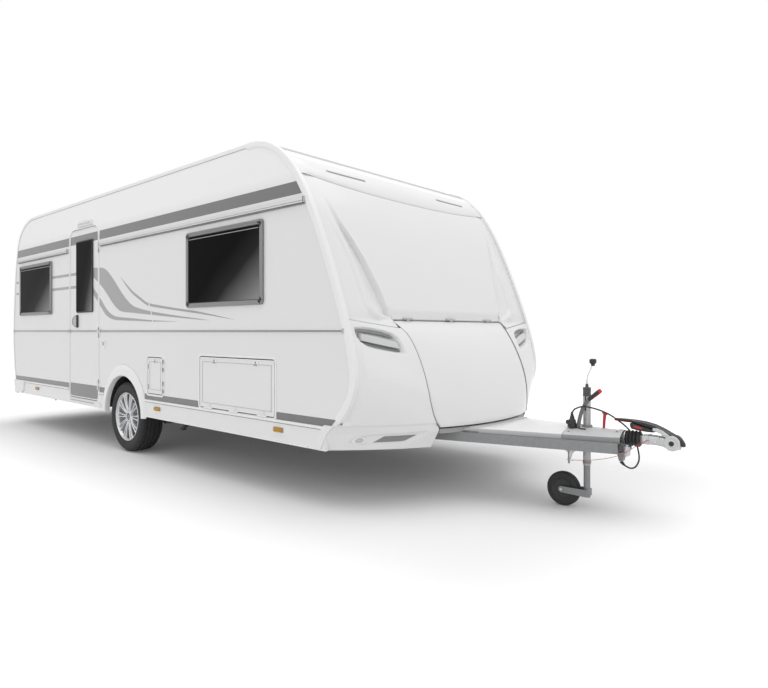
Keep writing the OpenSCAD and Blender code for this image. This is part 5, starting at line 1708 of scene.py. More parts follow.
def swept(name, stations, squareness=4.0, angle=40):
    return loft(name, [blockRing(*station, squareness=squareness) for station in stations], angle=angle)


def barAlong(name, path, half, thick, y, squareness=5.0):
    # a flat bar in the plane of the side view: path is (x, z) points, half its height there
    stations = []
    for i, (x, z) in enumerate(path):
        a, b = path[max(0, i - 1)], path[min(len(path) - 1, i + 1)]
        d = Vector((b[0] - a[0], 0, b[1] - a[1])).normalized()
        h = half[i] if isinstance(half, (list, tuple)) else half
        stations.append(((x, y, z), (0, thick, 0), (-d.z * h, 0, d.x * h)))
    return swept(name, stations, squareness)


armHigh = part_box("drawbar_arms")[1]
coverLow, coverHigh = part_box("drawbar_cover")
axisZ = 0.5                    # axis of the bellows and coupling
tubeLow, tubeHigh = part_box("jockey_tube")
jockeyX = (tubeLow.x + tubeHigh.x) / 2
cover = {
    "seam": 3.3,
    "base": armHigh.z,
    "side": armHigh.z + 0.032,
    "wall": 0.004,
    "frontHalf": 0.086,
}


def coverWidth(x):
    # half the cover's width, from its wide back end to its narrow front
    t = (x - coverLow.x) / (coverHigh.x - coverLow.x)
    return coverHigh.y + (cover["frontHalf"] - coverHigh.y) * t

def coverCrown(x):
    return lineValue([(0, 0), (0.06, 0.008), (0.14, 0.03), (0.42, 0.038), (0.9, 0.04)], x - coverLow.x)


def coverRing(x, front):
    # one closed cross-section of the cover, outer skin then inner skin
    w = coverWidth(x) - 0.0006
    base, side, crown = cover["base"] + 0.0006, cover["side"] - 0.0006, coverCrown(x) - 0.0006
    dish = 0.0035 * ease(3.36, 3.385, x) * (1 - ease(3.58, 3.6, x)) if front else 0
    outer = (-1, -1, -1, -0.997, -0.988, -0.968, -0.9, -0.82, -0.72, -0.7, -0.68, -0.6, -0.45, -0.3, -0.15, 0)
    heights = [0, 0.45, 0.84, 0.93, 0.98, 1.0] + [1] * 10
    points = []
    for u, h in zip(outer, heights):
        z = base + h * (side - base) + (crown * (1 - u * u) if h > 0.9 else 0)
        if abs(u) <= 0.7:
            z -= dish if abs(u) < 0.69 else dish * 0.4
        points.append((u * w, z))
    ring = points + [(-y, z) for y, z in points[-2::-1]]
    inner = [(y * (1 - cover["wall"] / w), z - cover["wall"] if 0 < k < len(ring) - 1 else z)
             for k, (y, z) in enumerate(ring)]
    return [Vector((x, y, z)) for y, z in ring + inner[::-1]]


seamX = cover["seam"]
rearCover = loft("drawbarCoverRear", [coverRing(x, False) for x in steps(coverLow.x, seamX - 0.0015, 40)],
                 angle=34)
wear(rearCover, "caravan", [moulding, shadedCoverSidePale])
frontCover = loft("drawbarCoverFront", [coverRing(x, True) for x in [seamX + 0.0015, seamX + 0.004]
                                        + steps(seamX + 0.01, 3.36, 6) + steps(3.366, 3.39, 5)
                                        + steps(3.4, 3.57, 10) + steps(3.576, 3.604, 6)
                                        + [3.62, coverHigh.x]], angle=34)
wear(frontCover, "caravan", [greyMoulding, shadedCoverSide])
for piece in (rearCover, frontCover):
    for polygon in piece.data.polygons:
        # painted shade: the upright sides take a darker grey than the top
        polygon.material_index = int(abs(polygon.normal.z) < 0.35)
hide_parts("drawbar_cover")
rows = [[p - Vector((0, 0, 0.0022)) for p in coverRing(x, False)] for x in (seamX - 0.0025, seamX + 0.0025)]
wear(loft("coverSeam", rows), "caravan", frameGrey)
# collar round the jockey tube and the slot of the handbrake lever
crownTop = cover["side"] + coverCrown(jockeyX)
collar = turned("jockeyCollar", [(0.0245, -0.01), (0.0345, -0.01), (0.035, 0.004), (0.032, 0.0075),
                                 (0.0262, 0.0085), (0.0245, 0.006), (0.0245, -0.01)], 48)
moved(collar, jockeyX, 0, crownTop)
wear(collar, "caravan", frameGrey)
# painted shadow: a black plate standing for the handbrake lever's slot
slotPlate = cutSheet("handbrakeSlot", softOutline(0, 0, 0.086, 0.022, (0.008,) * 4), 0.004, 0.0015)
slotPlate.data.transform(Matrix.Rotation(math.radians(1.5), 4, "Y"))
face(slotPlate, "top", (jockeyX - 0.02, -0.07, crownTop - 0.012))
wear(slotPlate, "caravan", paintedShadowBlack)
for k, (x, y) in enumerate(((3.325, 0.05), (3.325, -0.14), (3.6, 0.045), (3.6, -0.045))):
    z = cover["side"] + coverCrown(x) * (1 - (y / coverWidth(x)) ** 2)
    screw = turned(f"coverScrew.{k}", [(0.0062, -0.004), (0.0062, 0.0012), (0.0048, 0.0026),
                                       (0.0022, 0.0028), (0.0018, 0.001), (0, 0.001)], 20)
    moved(screw, x, y, z)
    wear(screw, "caravan", frameGrey)
print("drawbar cover shaped")

# bellows between the overrun housing and the coupling
profile = [(0.03, 0.0), (0.04, 0.0), (0.043, 0.003), (0.043, 0.0075)]
for k in range(4):
    z = 0.0095 + k * 0.0215
    profile += [(0.0355, z), (0.0375, z + 0.0028), (0.0465, z + 0.007), (0.0498, z + 0.0102),
                (0.0498, z + 0.0116), (0.0465, z + 0.0148), (0.0375, z + 0.019)]
profile += [(0.0372, 0.0965 - 0.001), (0.029, 0.0965), (0.029, 0.09), (0.03, 0.0)]
bellowsAt = (3.638, 0, axisZ)
bellows = turnedAt("bellows.rubber", profile, bellowsAt, (1, 0, 0), 56, 40)
wear(bellows, "caravan", bellowsRubber)
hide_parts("bellows")
clip = turnedAt("bellowsClip", [(0.0434, 0.0022), (0.0448, 0.0028), (0.0448, 0.0068), (0.0434, 0.0074),
                                (0.0434, 0.0022)], bellowsAt, (1, 0, 0), 48)
wear(clip, "caravan", brightSteel)

# coupling head: cast body, ball cup, friction discs and lever arms
body = swept("couplingBody", [((x, 0, (low + high) / 2), (0, half, 0), (0, 0, (high - low) / 2)) for x,
                              half, low, high in ((3.64, 0.0245, 0.4755, 0.5245),
                                                  (3.736, 0.025, 0.475, 0.525), (3.742, 0.03, 0.473, 0.529),
                                                  (3.752, 0.033, 0.472, 0.531),
                                                  (3.772, 0.0345, 0.474, 0.533),
                                                  (3.82, 0.035, 0.476, 0.533), (3.856, 0.035, 0.474, 0.53),
                                                  (3.88, 0.035, 0.466, 0.527), (3.905, 0.033, 0.46, 0.525),
                                                  (3.93, 0.03, 0.46, 0.52), (3.948, 0.026, 0.468, 0.512),
                                                  (3.96, 0.019, 0.478, 0.503))], squareness=5.5)
boss = turned("ballCup", [(0.0262, 0.0), (0.0405, 0.0), (0.0415, 0.006), (0.04, 0.012), (0.0415, 0.03),
                          (0.04, 0.05), (0.033, 0.06), (0.0, 0.062)], 48, 35)
moved(boss, ballX, 0, 0.4625)
liner = turned("ballSocket", [(0.0262, 0.0), (0.0255, 0.012), (0.0225, 0.024), (0.015, 0.0345),
                              (0.0, 0.038)], 40, 60)
moved(liner, ballX, 0, 0.463)
webs = []
for x, high in ((3.782, 0.5355), (3.846, 0.5325)):
    webs.append(swept("couplingWeb", [((x, y, 0.505), (0.0032, 0, 0), (0, 0, high - 0.505))
                                      for y in steps(-0.0375, 0.0375, 4)], 6))
head = merged("couplingHead", [body, boss] + webs)
settle(head, 38)
wear(head, "caravan", castSteel)
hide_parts("coupling_head")
wear(liner, "caravan", brightSteel)
for side, tag in bothSides:
    disc = turnedAt("frictionDisc" + tag, [(0.0445, -0.008), (0.0452, -0.004), (0.0452, 0.0045),
                                           (0.0435, 0.0078), (0.0395, 0.0092), (0.034, 0.0092),
                                           (0.032, 0.008), (0.023, 0.008), (0.0205, 0.0098), (0.0185, 0.01),
                                           (0.0, 0.01)], (ballX, side * 0.037, axisZ), (0, side, 0), 60)
    wear(disc, "caravan", castSteel)
    cap = turnedAt("discCap" + tag, [(0.0148, -0.001), (0.0148, 0.0028), (0.013, 0.0042), (0.0092, 0.0044),
                                     (0.008, 0.0026), (0.0, 0.0026)], (ballX, side * 0.0466, axisZ),
                   (0, side, 0), 6 * 6)
    wear(cap, "caravan", blackPlastic)
    arm = barAlong("stabiliserArm" + tag, [(3.93, 0.498), (3.912, 0.52), (3.89, 0.542), (3.862, 0.56),
                                           (3.836, 0.5695), (3.812, 0.5715)],
                   [0.016, 0.0145, 0.013, 0.012, 0.011, 0.009], 0.0036, side * 0.0318)
    wear(arm, "caravan", castSteel)
    bolt = turnedAt("couplingBolt" + tag, [(0.0085, -0.002), (0.0085, 0.0052), (0.0072, 0.0066),
                                           (0, 0.0066)], (3.765, side * 0.0342, 0.503), (0, side, 0), 6, 20)
    wear(bolt, "caravan", brightSteel)
    bolt = turnedAt("couplingPin" + tag, [(0.0065, -0.002), (0.0065, 0.0045), (0.005, 0.0058), (0, 0.0058)],
                    (3.828, side * 0.0348, 0.497), (0, side, 0), 6, 20)
    wear(bolt, "caravan", brightSteel)

# stabiliser handle: a long curved shell with a grip end
handle = {"top": [(3.572, 0.616), (3.61, 0.6178), (3.677, 0.618), (3.72, 0.616), (3.755, 0.613),
                  (3.79, 0.607), (3.814, 0.601), (3.86, 0.582), (3.9, 0.562), (3.935, 0.542),
                  (3.962, 0.525)], "low": [(3.572, 0.6035), (3.61, 0.602), (3.677, 0.6), (3.72, 0.59),
                                           (3.755, 0.58), (3.79, 0.574), (3.814, 0.5715), (3.86, 0.556),
                                           (3.9, 0.54), (3.935, 0.525), (3.962, 0.52)],
          "half": [0.015, 0.017, 0.019, 0.024, 0.0265, 0.0275, 0.0277, 0.0277, 0.027, 0.023, 0.014],}
stations = []
for (x, top), (_, low), half in zip(handle["top"], handle["low"], handle["half"]):
    stations.append(((x, 0, (top + low) / 2), (0, half, 0), (0, 0, (top - low) / 2)))
shell = swept("stabiliserHandle", stations, squareness=3.0, angle=50)
shell = settle(modify(shell, "SUBSURF", levels=1, render_levels=1), 50)
wear(shell, "caravan", blackPlastic)
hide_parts("stabiliser_handle")
nose = swept("handleNose", [((x, 0, z), (0, w, 0), (0, 0, h)) for x, z, w,
                            h in ((3.905, 0.547, 0.0262, 0.012), (3.93, 0.532, 0.0258, 0.016),
                                  (3.95, 0.518, 0.025, 0.021), (3.966, 0.506, 0.023, 0.022),
                                  (3.978, 0.497, 0.018, 0.017), (3.985, 0.492, 0.012, 0.01),
                                  (3.9872, 0.49, 0.006, 0.004))], squareness=3.2, angle=60)
wear(nose, "caravan", blackPlastic)
strip = swept("handleGripUnderside", [((x, 0, z), (0, w, 0), (0, 0, 0.0022)) for x, z,
                                      w in ((3.5735, 0.6025, 0.0125), (3.6, 0.601, 0.015),
                                            (3.64, 0.5996, 0.0165), (3.668, 0.5988, 0.0165))],
              squareness=3.5)
wear(strip, "caravan", redPlastic)
tip = swept("handleGripEnd", [((x, 0, 0.6098), (0, w, 0), (0, 0, h)) for x, w,
                              h in ((3.5708, 0.011, 0.004), (3.5725, 0.014, 0.0056),
                                    (3.575, 0.0145, 0.006))])
wear(tip, "caravan", redPlastic)
housing = swept("padHousing", [((x, 0, z), (0, w, 0), (0, 0, h)) for x, z, w,
                               h in ((3.672, 0.584, 0.023, 0.012), (3.68, 0.579, 0.025, 0.02),
                                     (3.72, 0.57, 0.0255, 0.018), (3.77, 0.563, 0.025, 0.014),
                                     (3.8, 0.56, 0.0235, 0.011), (3.815, 0.559, 0.02, 0.008))],
                squareness=4.5)
wear(housing, "caravan", blackPlastic)
for side, tag in bothSides:
    pad = swept("padWindow" + tag, [((x, side * 0.0248, z), (0, 0.0016, 0), (0, 0, h)) for x, z,
                                    h in ((3.694, 0.576, 0.004), (3.7, 0.575, 0.0062),
                                          (3.74, 0.5685, 0.0058), (3.748, 0.5672, 0.0036))], squareness=4)
    wear(pad, "caravan", redPlastic)
    rib = barAlong("handleRib" + tag, [(3.69, 0.6135), (3.755, 0.6085), (3.814, 0.5965), (3.86, 0.5785),
                                       (3.9, 0.559), (3.93, 0.543)], [0.0012] * 6, 0.0012, side * 0.0268)
    wear(rib, "caravan", greyPlastic)
print("coupling and stabiliser built")

# handbrake lever: a bent steel bar with a black grip and a red end
brakeY = -0.0703       # plane of the handbrake lever
path = bezier([(3.35, 0.432), (3.358, 0.54), (3.362, 0.668), (3.44, 0.735)], 14)
bar = barAlong("handbrakeBar", path, [0.013 - 0.0015 * k / 14 for k in range(15)], 0.0056, brakeY)
wear(bar, "caravan", darkSteel)
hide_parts("handbrake_lever")
gripStart = Vector((3.428, brakeY, 0.726))
gripAxis = Vector((3.507 - 3.428, 0, 0.79 - 0.726)).normalized()
gripUp = Vector((-gripAxis.z, 0, gripAxis.x))

def gripStations(rows, drop=0.0):
    # rows of (distance along the grip, half width, half height), drop below its middle line
    return [(gripStart + gripAxis * s - gripUp * drop, (0, w, 0), gripUp * h) for s, w, h in rows]

grip = swept("handbrakeGrip", gripStations([
    (0, 0.007, 0.011), (0.004, 0.0085, 0.0132), (0.02, 0.0085, 0.0125), (0.045, 0.0088, 0.0128),
    (0.075, 0.0092, 0.0136), (0.088, 0.0094, 0.0138)]), squareness=3)
wear(grip, "caravan", blackPlastic)
endCap = swept("handbrakeEnd", gripStations([(0.086, 0.0096, 0.014), (0.098, 0.0094, 0.0136),
                                             (0.103, 0.008, 0.0118), (0.105, 0.005, 0.008)]), squareness=3)
wear(endCap, "caravan", redPlastic)
inlay = swept("handbrakeInlay", gripStations([(s, 0.0062, 0.0028) for s in (0.016, 0.04, 0.07, 0.086)],
                                             0.0118), squareness=3)
wear(inlay, "caravan", redPlastic)

# red clamp lever of the jockey wheel, with its cross handle
stem = swept("clampLever", [((3.487, 0.03, 0.535), (0.0078, 0, 0), (0, 0.0055, 0)),
                            ((3.489, 0.03, 0.58), (0.0088, 0, 0), (0, 0.006, 0)),
                            ((3.493, 0.03, 0.622), (0.01, 0, 0), (0, 0.006, 0)),
                            ((3.494, 0.03, 0.63), (0.011, 0, 0), (0, 0.006, 0))], 3)
cross = swept("clampCross", [((x, 0.03, z), (0, 0.0052, 0), (0, 0, h)) for x, z,
                             h in ((3.477, 0.6375, 0.004), (3.48, 0.6365, 0.0066), (3.494, 0.634, 0.0072),
                                   (3.506, 0.6305, 0.0066), (3.51, 0.6295, 0.004))], 3)
wear(merged("clampLever.red", [stem, cross]), "caravan", redPlastic)

# jockey column: outer tube with its clamp, cap, crank, bolts and slot
tubeTop = 0.744       # top of the outer tube, where the cap sits
outerTube = turned("jockeyOuterTube", [(0.0216, 0.33), (0.0216, 0.2905), (0.0232, 0.29), (0.024, 0.2912),
                                       (0.024, tubeTop - 0.002), (0.0225, tubeTop), (0.0, tubeTop)], 48)
clampBlock = softPlate("clampBlock", 0.08, 0.076, 0.006, 0.026, 0.003)
moved(clampBlock, 0, 0, 0.396)
outerTube = merged("jockeyOuterTube", [outerTube, clampBlock])
moved(outerTube, jockeyX, 0, 0)
wear(settle(outerTube, 30), "caravan", paleSteel)
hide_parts("jockey_tube")
cap = turned("jockeyCap", [(r, tubeTop + z) for r,
                           z in ((0.024, -0.004), (0.0262, -0.002), (0.0262, 0.004), (0.025, 0.007),
                                 (0.025, 0.042), (0.0262, 0.044), (0.0262, 0.049), (0.0235, 0.0535),
                                 (0.012, 0.054), (0.0105, 0.058), (0.01, 0.072), (0.007, 0.076),
                                 (0.0, 0.076))], 48, 35)
for vertex in cap.data.vertices:
    # flutes round the cap
    if tubeTop + 0.006 < vertex.co.z < tubeTop + 0.043:
        step = round(math.atan2(vertex.co.y, vertex.co.x) / (2 * math.pi) * 48)
        if step % 2:
            vertex.co.x *= 0.965
            vertex.co.y *= 0.965
moved(cap, jockeyX, 0, 0)
wear(settle(cap, 28), "caravan", capGrey)
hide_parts("jockey_crank")
crankLine = [(jockeyX, 0, tubeTop + 0.068), (jockeyX, 0, tubeTop + 0.088),
             (jockeyX + 0.001, 0, tubeTop + 0.1), (jockeyX + 0.008, 0, tubeTop + 0.135),
             (jockeyX + 0.024, 0, tubeTop + 0.17), (jockeyX + 0.033, 0, tubeTop + 0.192),
             (jockeyX + 0.039, 0, 0.944), (jockeyX + 0.04, 0, 0.952)]
wear(cord3d("jockeyCrankRod", crankLine, 0.0034, 10), "caravan", brightSteel)
knob = turned("crankKnob", [(0.007, 0.938), (0.0118, 0.9395), (0.0125, 0.949), (0.015, 0.953),
                            (0.0205, 0.957), (0.022, 0.962), (0.022, 0.975), (0.0205, 0.981),
                            (0.016, 0.9842), (0.0, 0.985)], 28, 45)
moved(knob, jockeyX + 0.04, 0, 0)
wear(knob, "caravan", blackPlastic)
ferrule = turned("crankFerrule", [(r, tubeTop + z) for r,
                                  z in ((0.0066, 0.076), (0.008, 0.077), (0.008, 0.084), (0.006, 0.086),
                                        (0.0045, 0.104), (0.0, 0.104))], 24)
moved(ferrule, jockeyX, 0, 0)
wear(ferrule, "caravan", brightSteel)
band = turned("jockeyBand", [(0.0241, 0.302), (0.0262, 0.303), (0.0262, 0.318), (0.0241, 0.319),
                             (0.0241, 0.302)], 40)
moved(band, jockeyX, 0, 0)
wear(band, "caravan", galvanised)
for side, tag in bothSides:
    bolt = turnedAt("clampBolt" + tag, [(0.011, -0.002), (0.011, 0.006), (0.0095, 0.0075), (0, 0.0075)],
                    (jockeyX, side * 0.0375, 0.409), (0, side, 0), 6, 20)
    wear(bolt, "caravan", brightSteel)
    nut = turnedAt("forkNut" + tag, [(0.0105, -0.002), (0.0105, 0.005), (0.009, 0.0062), (0.005, 0.0062),
                                                                       (0.0045, 0.0082), (0, 0.0085)],
                   (jockeyX - 0.16, side * 0.043, 0.113), (0, side, 0), 6, 20)
    wear(nut, "jockey_fork", brightSteel)
# painted shadow: a black line standing for the slot in the tube
slotLine = softPlate("jockeySlot", 0.008, 0.11, 0.004, 0.0006)
face(slotLine, "right", (jockeyX, -0.024, 0.7))
wear(slotLine, "caravan", paintedShadowBlack)

# jockey wheel: solid rubber tyre on a dished plastic centre
jockeyLow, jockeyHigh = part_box("jockey_wheel")
wheelAt = ((jockeyLow.x + jockeyHigh.x) / 2, 0, (jockeyLow.z + jockeyHigh.z) / 2)
half = [(0.0085, 0.027), (0.02, 0.027), (0.022, 0.025), (0.024, 0.0205), (0.048, 0.0185), (0.062, 0.0195),
        (0.066, 0.024), (0.07, 0.0265)]
centre = turnedAt("jockeyHub", half + [(0.0735, 0.027), (0.074, 0.0), (0.0735, -0.027)]
                  + [(r, -z) for r, z in half[::-1]] + [half[0]], wheelAt, (0, -1, 0), 56, 35)
wear(centre, "jockey_wheel", hubBlack)
flankSide = [(0.073, 0.028), (0.076, 0.03), (0.086, 0.0306), (0.0985, 0.03), (0.106, 0.027),
             (0.1105, 0.0215), (0.1125, 0.014)]
rubberRing = turnedAt("jockeyTyre", flankSide + [(0.113, 0.0)] + [(r, -z) for r, z in flankSide[::-1]]
                      + [flankSide[0]], wheelAt, (0, -1, 0), 72, 40)
wear(rubberRing, "jockey_wheel", jockeyRubber)
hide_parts("jockey_wheel")

# castings under the drawbar: lug with its bolt and web, and the bolts through the arm
lug = turnedAt("frontLug", [(0.0, 0.0), (0.021, 0.0), (0.0225, 0.004), (0.0225, 0.052), (0.0205, 0.056),
                            (0.012, 0.058), (0.0115, 0.066), (0, 0.066)], (3.655, -0.03, 0.395), (0, 0, 1),
               36)
wear(lug, "caravan", castSteel)
lugBolt = turnedAt("frontLugBolt", [(0.0105, 0.0), (0.0105, 0.0075), (0.0085, 0.009), (0, 0.009)],
                   (3.655, -0.03, 0.396), (0, 0, -1), 6, 20)
wear(lugBolt, "caravan", brightSteel)
web = swept("frontLugWeb", [((x, -0.03, z), (0, 0.006, 0), (0, 0, h)) for x, z,
                            h in ((3.56, 0.425, 0.014), (3.6, 0.42, 0.022), (3.64, 0.424, 0.026),
                                  (3.655, 0.428, 0.024))], 6)
wear(web, "caravan", castSteel)
for k, (x, y, z) in enumerate(((3.41, -0.096, 0.442), (3.47, -0.0905, 0.442), (3.585, -0.0788, 0.442))):
    bolt = turnedAt(f"armBolt.{k}", [(0.0115, -0.004), (0.0115, 0.007), (0.0095, 0.0085), (0.0, 0.0085)],
                    (x, y - 0.016, z), (-0.18, -1, 0), 6, 20)
    wear(bolt, "caravan", brightSteel)

# cast hanger under the right arm, with the rod that the breakaway cable pulls
hanger = swept("hangerCasting", [((3.35 + dx, -0.168, z), (w, 0, 0), (0, 0.011, 0)) for dx, z,
                                 w in ((-0.004, 0.415, 0.046), (-0.002, 0.408, 0.044), (0.0, 0.4, 0.026),
                                       (0.001, 0.39, 0.016), (-0.001, 0.378, 0.0125),
                                       (-0.004, 0.362, 0.0105), (-0.006, 0.352, 0.0085))], 3)
wear(hanger, "caravan", castSteel)
cross = turnedAt("hangerCross", [(0.0, 0.0), (0.0042, 0.0), (0.0046, 0.003), (0.0046, 0.038),
                                 (0.0042, 0.041), (0, 0.041)], (3.332, -0.175, 0.346), (1, 0.1, 0), 16)
wear(cross, "caravan", brightSteel)

# foot of the cover, between the arms under the locker lid
root = swept("coverRoot", [((x, 0, 0.494), (0, coverWidth(x) - 0.001, 0), (0, 0, 0.0175))
                           for x in steps(2.45, 2.776, 6)], squareness=14, angle=30)
# in the cover sides' darker grey, a painted shade under the locker lid
wear(root, "caravan", shadedCoverSidePale)
print("jockey wheel and drawbar fittings built")


tail = {
    "lamp": [(-0.51, 0.862), (-0.76, 0.872), (-0.98, 0.905), (-1.092, 0.965), (-1.092, 1.082), (-1.04, 1.086), (-0.94, 1.01),
             (-0.78, 0.935), (-0.51, 0.884)],
    "plate": (0.285, 0.57, 0.722),      # half width, bottom and top of the number plate's pocket
    "pocket": [(-1.04, 0.54), (-1.02, 0.7), (-0.8, 0.7), (-0.64, 0.54)],
}


def carrierSkin(y, z):
    x = carrierX(y, z)
    y = -abs(y)
    if insideShape(y, z, tail["lamp"]):
        x += 0.008 * ease(0, 0.006, edgeDistance(y, z, tail["lamp"]))
    if insideShape(y, z, tail["pocket"]):
        x += 0.01 * ease(0, 0.014, edgeDistance(y, z, tail["pocket"]))
    half, low, high = tail["plate"]
    if -y < half and low < z < high:
        x += 0.012 * ease(0, 0.012, min(half + y, z - low, high - z))
    x -= 0.004 * math.exp(-((z - 0.79) / 0.012) ** 2) * (1 - ease(0.95, 1.1, -y))   # crease over the bumper
    return x + 0.018 * ease(0.4, 0.372, z)


half = steps(0, innerHalf - 0.006, 116) + [innerHalf + 0.004, innerHalf + 0.014, innerHalf + 0.022,
                                           innerHalf + 0.028, bodyHalf + 0.001]
ys = [-y for y in half[:0:-1]] + half
zs = [0.371, 0.374, 0.38] + steps(0.388, carrierTop - 0.008, 132) + [carrierTop - 0.003, carrierTop - 0.001]
carrier = loft("rearCarrier", gridRows(ys, zs, lambda y, z: (carrierSkin(y, z), y, z)), ring=False, angle=60)
carrier = settle(modify(carrier, "SOLIDIFY", thickness=0.01, offset=-1), 45)
wear(carrier, "caravan", moulding)
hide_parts("rear_bumper")

# swept lamps: dark surround, red body and three bright bent bars
laidOn("tailSurround", tail["lamp"], carrierX, -1, -0.006, 0.011, blackPlastic, edge=0.003)
inner = [(-0.6, 0.8745), (-0.762, 0.887), (-0.972, 0.92), (-1.077, 0.975), (-1.077, 1.07), (-1.046, 1.071),
         (-0.948, 0.994), (-0.786, 0.92), (-0.64, 0.8835)]
body = laidOn("tailLens", inner, carrierX, -1, 0.004, 0.006, redLens, edge=0.003)
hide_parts("tail_lamps")
for k in range(3):
    t = k * 0.03
    bar = [(-0.665 - t * 1.5, 0.8815 + t * 0.16), (-0.77, 0.886 + t * 0.42), (-0.962, 0.926 + t * 0.62),
           (-1.062 + t * 0.1, 0.98 + t * 0.55), (-1.066 + t * 0.55, 1.056 - t * 0.2),
           (-1.058 + t * 0.55, 1.056 - t * 0.2), (-1.055 + t * 0.2, 0.985 + t * 0.55),
           (-0.957, 0.9335 + t * 0.62), (-0.77, 0.8925 + t * 0.42), (-0.672 - t * 1.5, 0.8862 + t * 0.16)]
    laidOn(f"tailBar.{k}", bar, carrierX, -1, 0.0085, 0.003, redGlow, edge=0.001, cuts=(10, 5))
line = [(-0.512, 0.866), (-0.512, 0.874), (0.512, 0.874), (0.512, 0.866)]
laidOn("tailLine", line, carrierX, -1, -0.001, 0.0025, redLens, sides=("middle",), edge=0.0005,
       cuts=(40, 1))

# bumper: dark strips, reflectors, blank plate with its lamps, socket, lip and side wraps
laidOn("bumperStrip", [(-0.566, 0.714), (-0.572, 0.73), (-1.006, 0.738), (-1.011, 0.722)], carrierX, -1,
       -0.002, 0.006, greyPlastic, edge=0.002)
reflector = [(-0.878, 0.56), (-0.912, 0.672), (-0.962, 0.672), (-1.0, 0.56)]
laidOn("reflectorFoot", [(-0.868, 0.552), (-0.906, 0.68), (-0.968, 0.68), (-1.01, 0.552)], carrierX, -1,
       -0.012, 0.01, moulding, edge=0.003)
# the reflector takes the red lens finish, whose faint glow is painted light here, since a reflector is no lamp
laidOn("reflector", reflector, carrierX, -1, -0.004, 0.007, redLens, edge=0.002)
plateShape = softOutline(0, 0.654, 0.52, 0.106, (0.008,) * 4)
laidOn("plateHolder", softOutline(0, 0.646, 0.544, 0.138, (0.008,) * 4), carrierX, -1, -0.0105, 0.007,
       blackPlastic, sides=("middle",), edge=0.001, cuts=(24, 3))
laidOn("numberPlate", plateShape, carrierX, -1, -0.004, 0.0022, ribWhite,
       sides=("middle",), edge=0.0006, cuts=(24, 3))
for k, y in enumerate((-0.17, 0.17)):
    laidOn(f"plateLamp.{k}", softOutline(y, 0.722, 0.052, 0.014, (0.004,) * 4), carrierX, -1, -0.0065,
           0.006, blackPlastic, sides=("middle",), edge=0.003, cuts=(3, 2))
socket = turnedAt("rearSocket", [(0.016, -0.004), (0.016, 0.004), (0.0135, 0.007), (0.006, 0.008),
                                 (0.0, 0.008)], (carrierX(-0.33, 0.66) + 0.009, -0.33, 0.66), (-1, 0, 0),
                  28)
wear(socket, "caravan", frameGrey)
lipHalf = 1.09792
laidOn("carrierLip", [(-lipHalf, 0.392), (-lipHalf, 0.414), (lipHalf, 0.414), (lipHalf, 0.392)], carrierX,
       -1, -0.004, 0.009, moulding, sides=("middle",), edge=0.004, cuts=(60, 1))
for side in ("right", "left"):
    wrap = [(-2.974, 0.386), (-2.74, 0.388), (-2.67, 0.42), (-2.65, 0.5), (-2.668, 0.548), (-3.0, 0.548)]
    wear(sideSheet("carrierWrap." + side, side, wrap, 0.014, 0.0045, 0.006), "caravan", moulding)
print("light carrier finished")


# upper rear: window seal and hinge rail, pillar seams, grab band and the spoiler with its brake light
def rearFace(y, z):
    return rearAt(z) + 0.02 * (1 - ease(bodyHalf - 0.28, bodyHalf - 0.06, abs(y)))


windowLow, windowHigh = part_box("rear_window")
windowHalf = windowHigh.y
windowOutline = softOutline(0, (windowLow.z + windowHigh.z) / 2, 2 * windowHalf, windowHigh.z - windowLow.z,
                            (0.1, 0.1, 0.03, 0.03), 8)


def ringOnRear(name, half, grow, lift, depth, finish):
    # a narrow frame that follows the window's outline on the curved rear
    rows = []
    count = len(windowOutline)
    for k in range(count + 1):
        p = Vector(windowOutline[k % count])
        a, b = Vector(windowOutline[(k - 1) % count]), Vector(windowOutline[(k + 1) % count])
        d = (b - a).normalized()
        out = Vector((d.y, -d.x))
        row = []
        for across, up in ((grow, 0), (grow, depth * 0.7), (grow - half * 0.3, depth),
                           (grow - half * 1.7, depth), (grow - 2 * half, depth * 0.7),
                           (grow - 2 * half, 0)):
            q = p + out * across
            row.append(Vector((rearFace(q.x, q.y) - lift - up, q.x, q.y)))
        rows.append(row)
    piece = loft(name, rows, ring=False, angle=35)
    return wear(piece, "caravan", finish)


ringOnRear("rearWindowSeal", 0.006, 0.009, -0.001, 0.007, sealRubber)
glass = laidOn("rearGlass", windowOutline, rearFace, -1, -0.001, 0.006,
               paneWithPaintedReflection("rearPane", 0, (windowLow.z + windowHigh.z) / 2, 2 * windowHalf,
                          windowHigh.z - windowLow.z, 1, 1.0, True), sides=("middle",),
               edge=0.0015, cuts=(36, 24))
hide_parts("rear_window")
top = windowHigh.z + 0.012
laidOn("rearWindowRail", [(-windowHalf + 0.01, top - 0.008), (-windowHalf + 0.01, top + 0.012),
                          (windowHalf - 0.01, top + 0.012), (windowHalf - 0.01, top - 0.008)], rearFace, -1,
       0.0, 0.01, softGrey, sides=("middle",), edge=0.003, cuts=(40, 1))
for sign, tag in bothSides:
    seam = [(y * sign, z) for z, y in ((2.196, 1.07), (2.1, 1.052), (1.95, 1.024), (1.75, 0.994),
                                       (1.55, 0.966), (1.4, 0.942), (1.3, 0.918), (1.23, 0.88),
                                       (1.196, 0.846))]
    points = [(rearFace(y, z) - 0.0004, y, z) for y, z in resampled(seam, 40)]
    wear(cord3d("rearPillarSeam" + tag, points, 0.0017, 6), "caravan", softGrey)
laidOn("rearBand", [(-0.87, 1.127), (-0.87, 1.174), (0.87, 1.174), (0.87, 1.127)], rearFace, -1, -0.001,
       0.02, greyPlastic, sides=("middle",), edge=0.004, cuts=(48, 1))
laidOn("rearBandLine", [(-0.866, 1.15), (-0.866, 1.156), (0.866, 1.156), (0.866, 1.15)], rearFace, -1,
       0.018, 0.003, softGrey, sides=("middle",), edge=0.001, cuts=(48, 1))
laidOn("bandEnd", softOutline(-0.982, 1.152, 0.232, 0.052, (0.01,) * 4), rearFace, -1, -0.001, 0.022,
       ribWhite, edge=0.005, cuts=(8, 1))
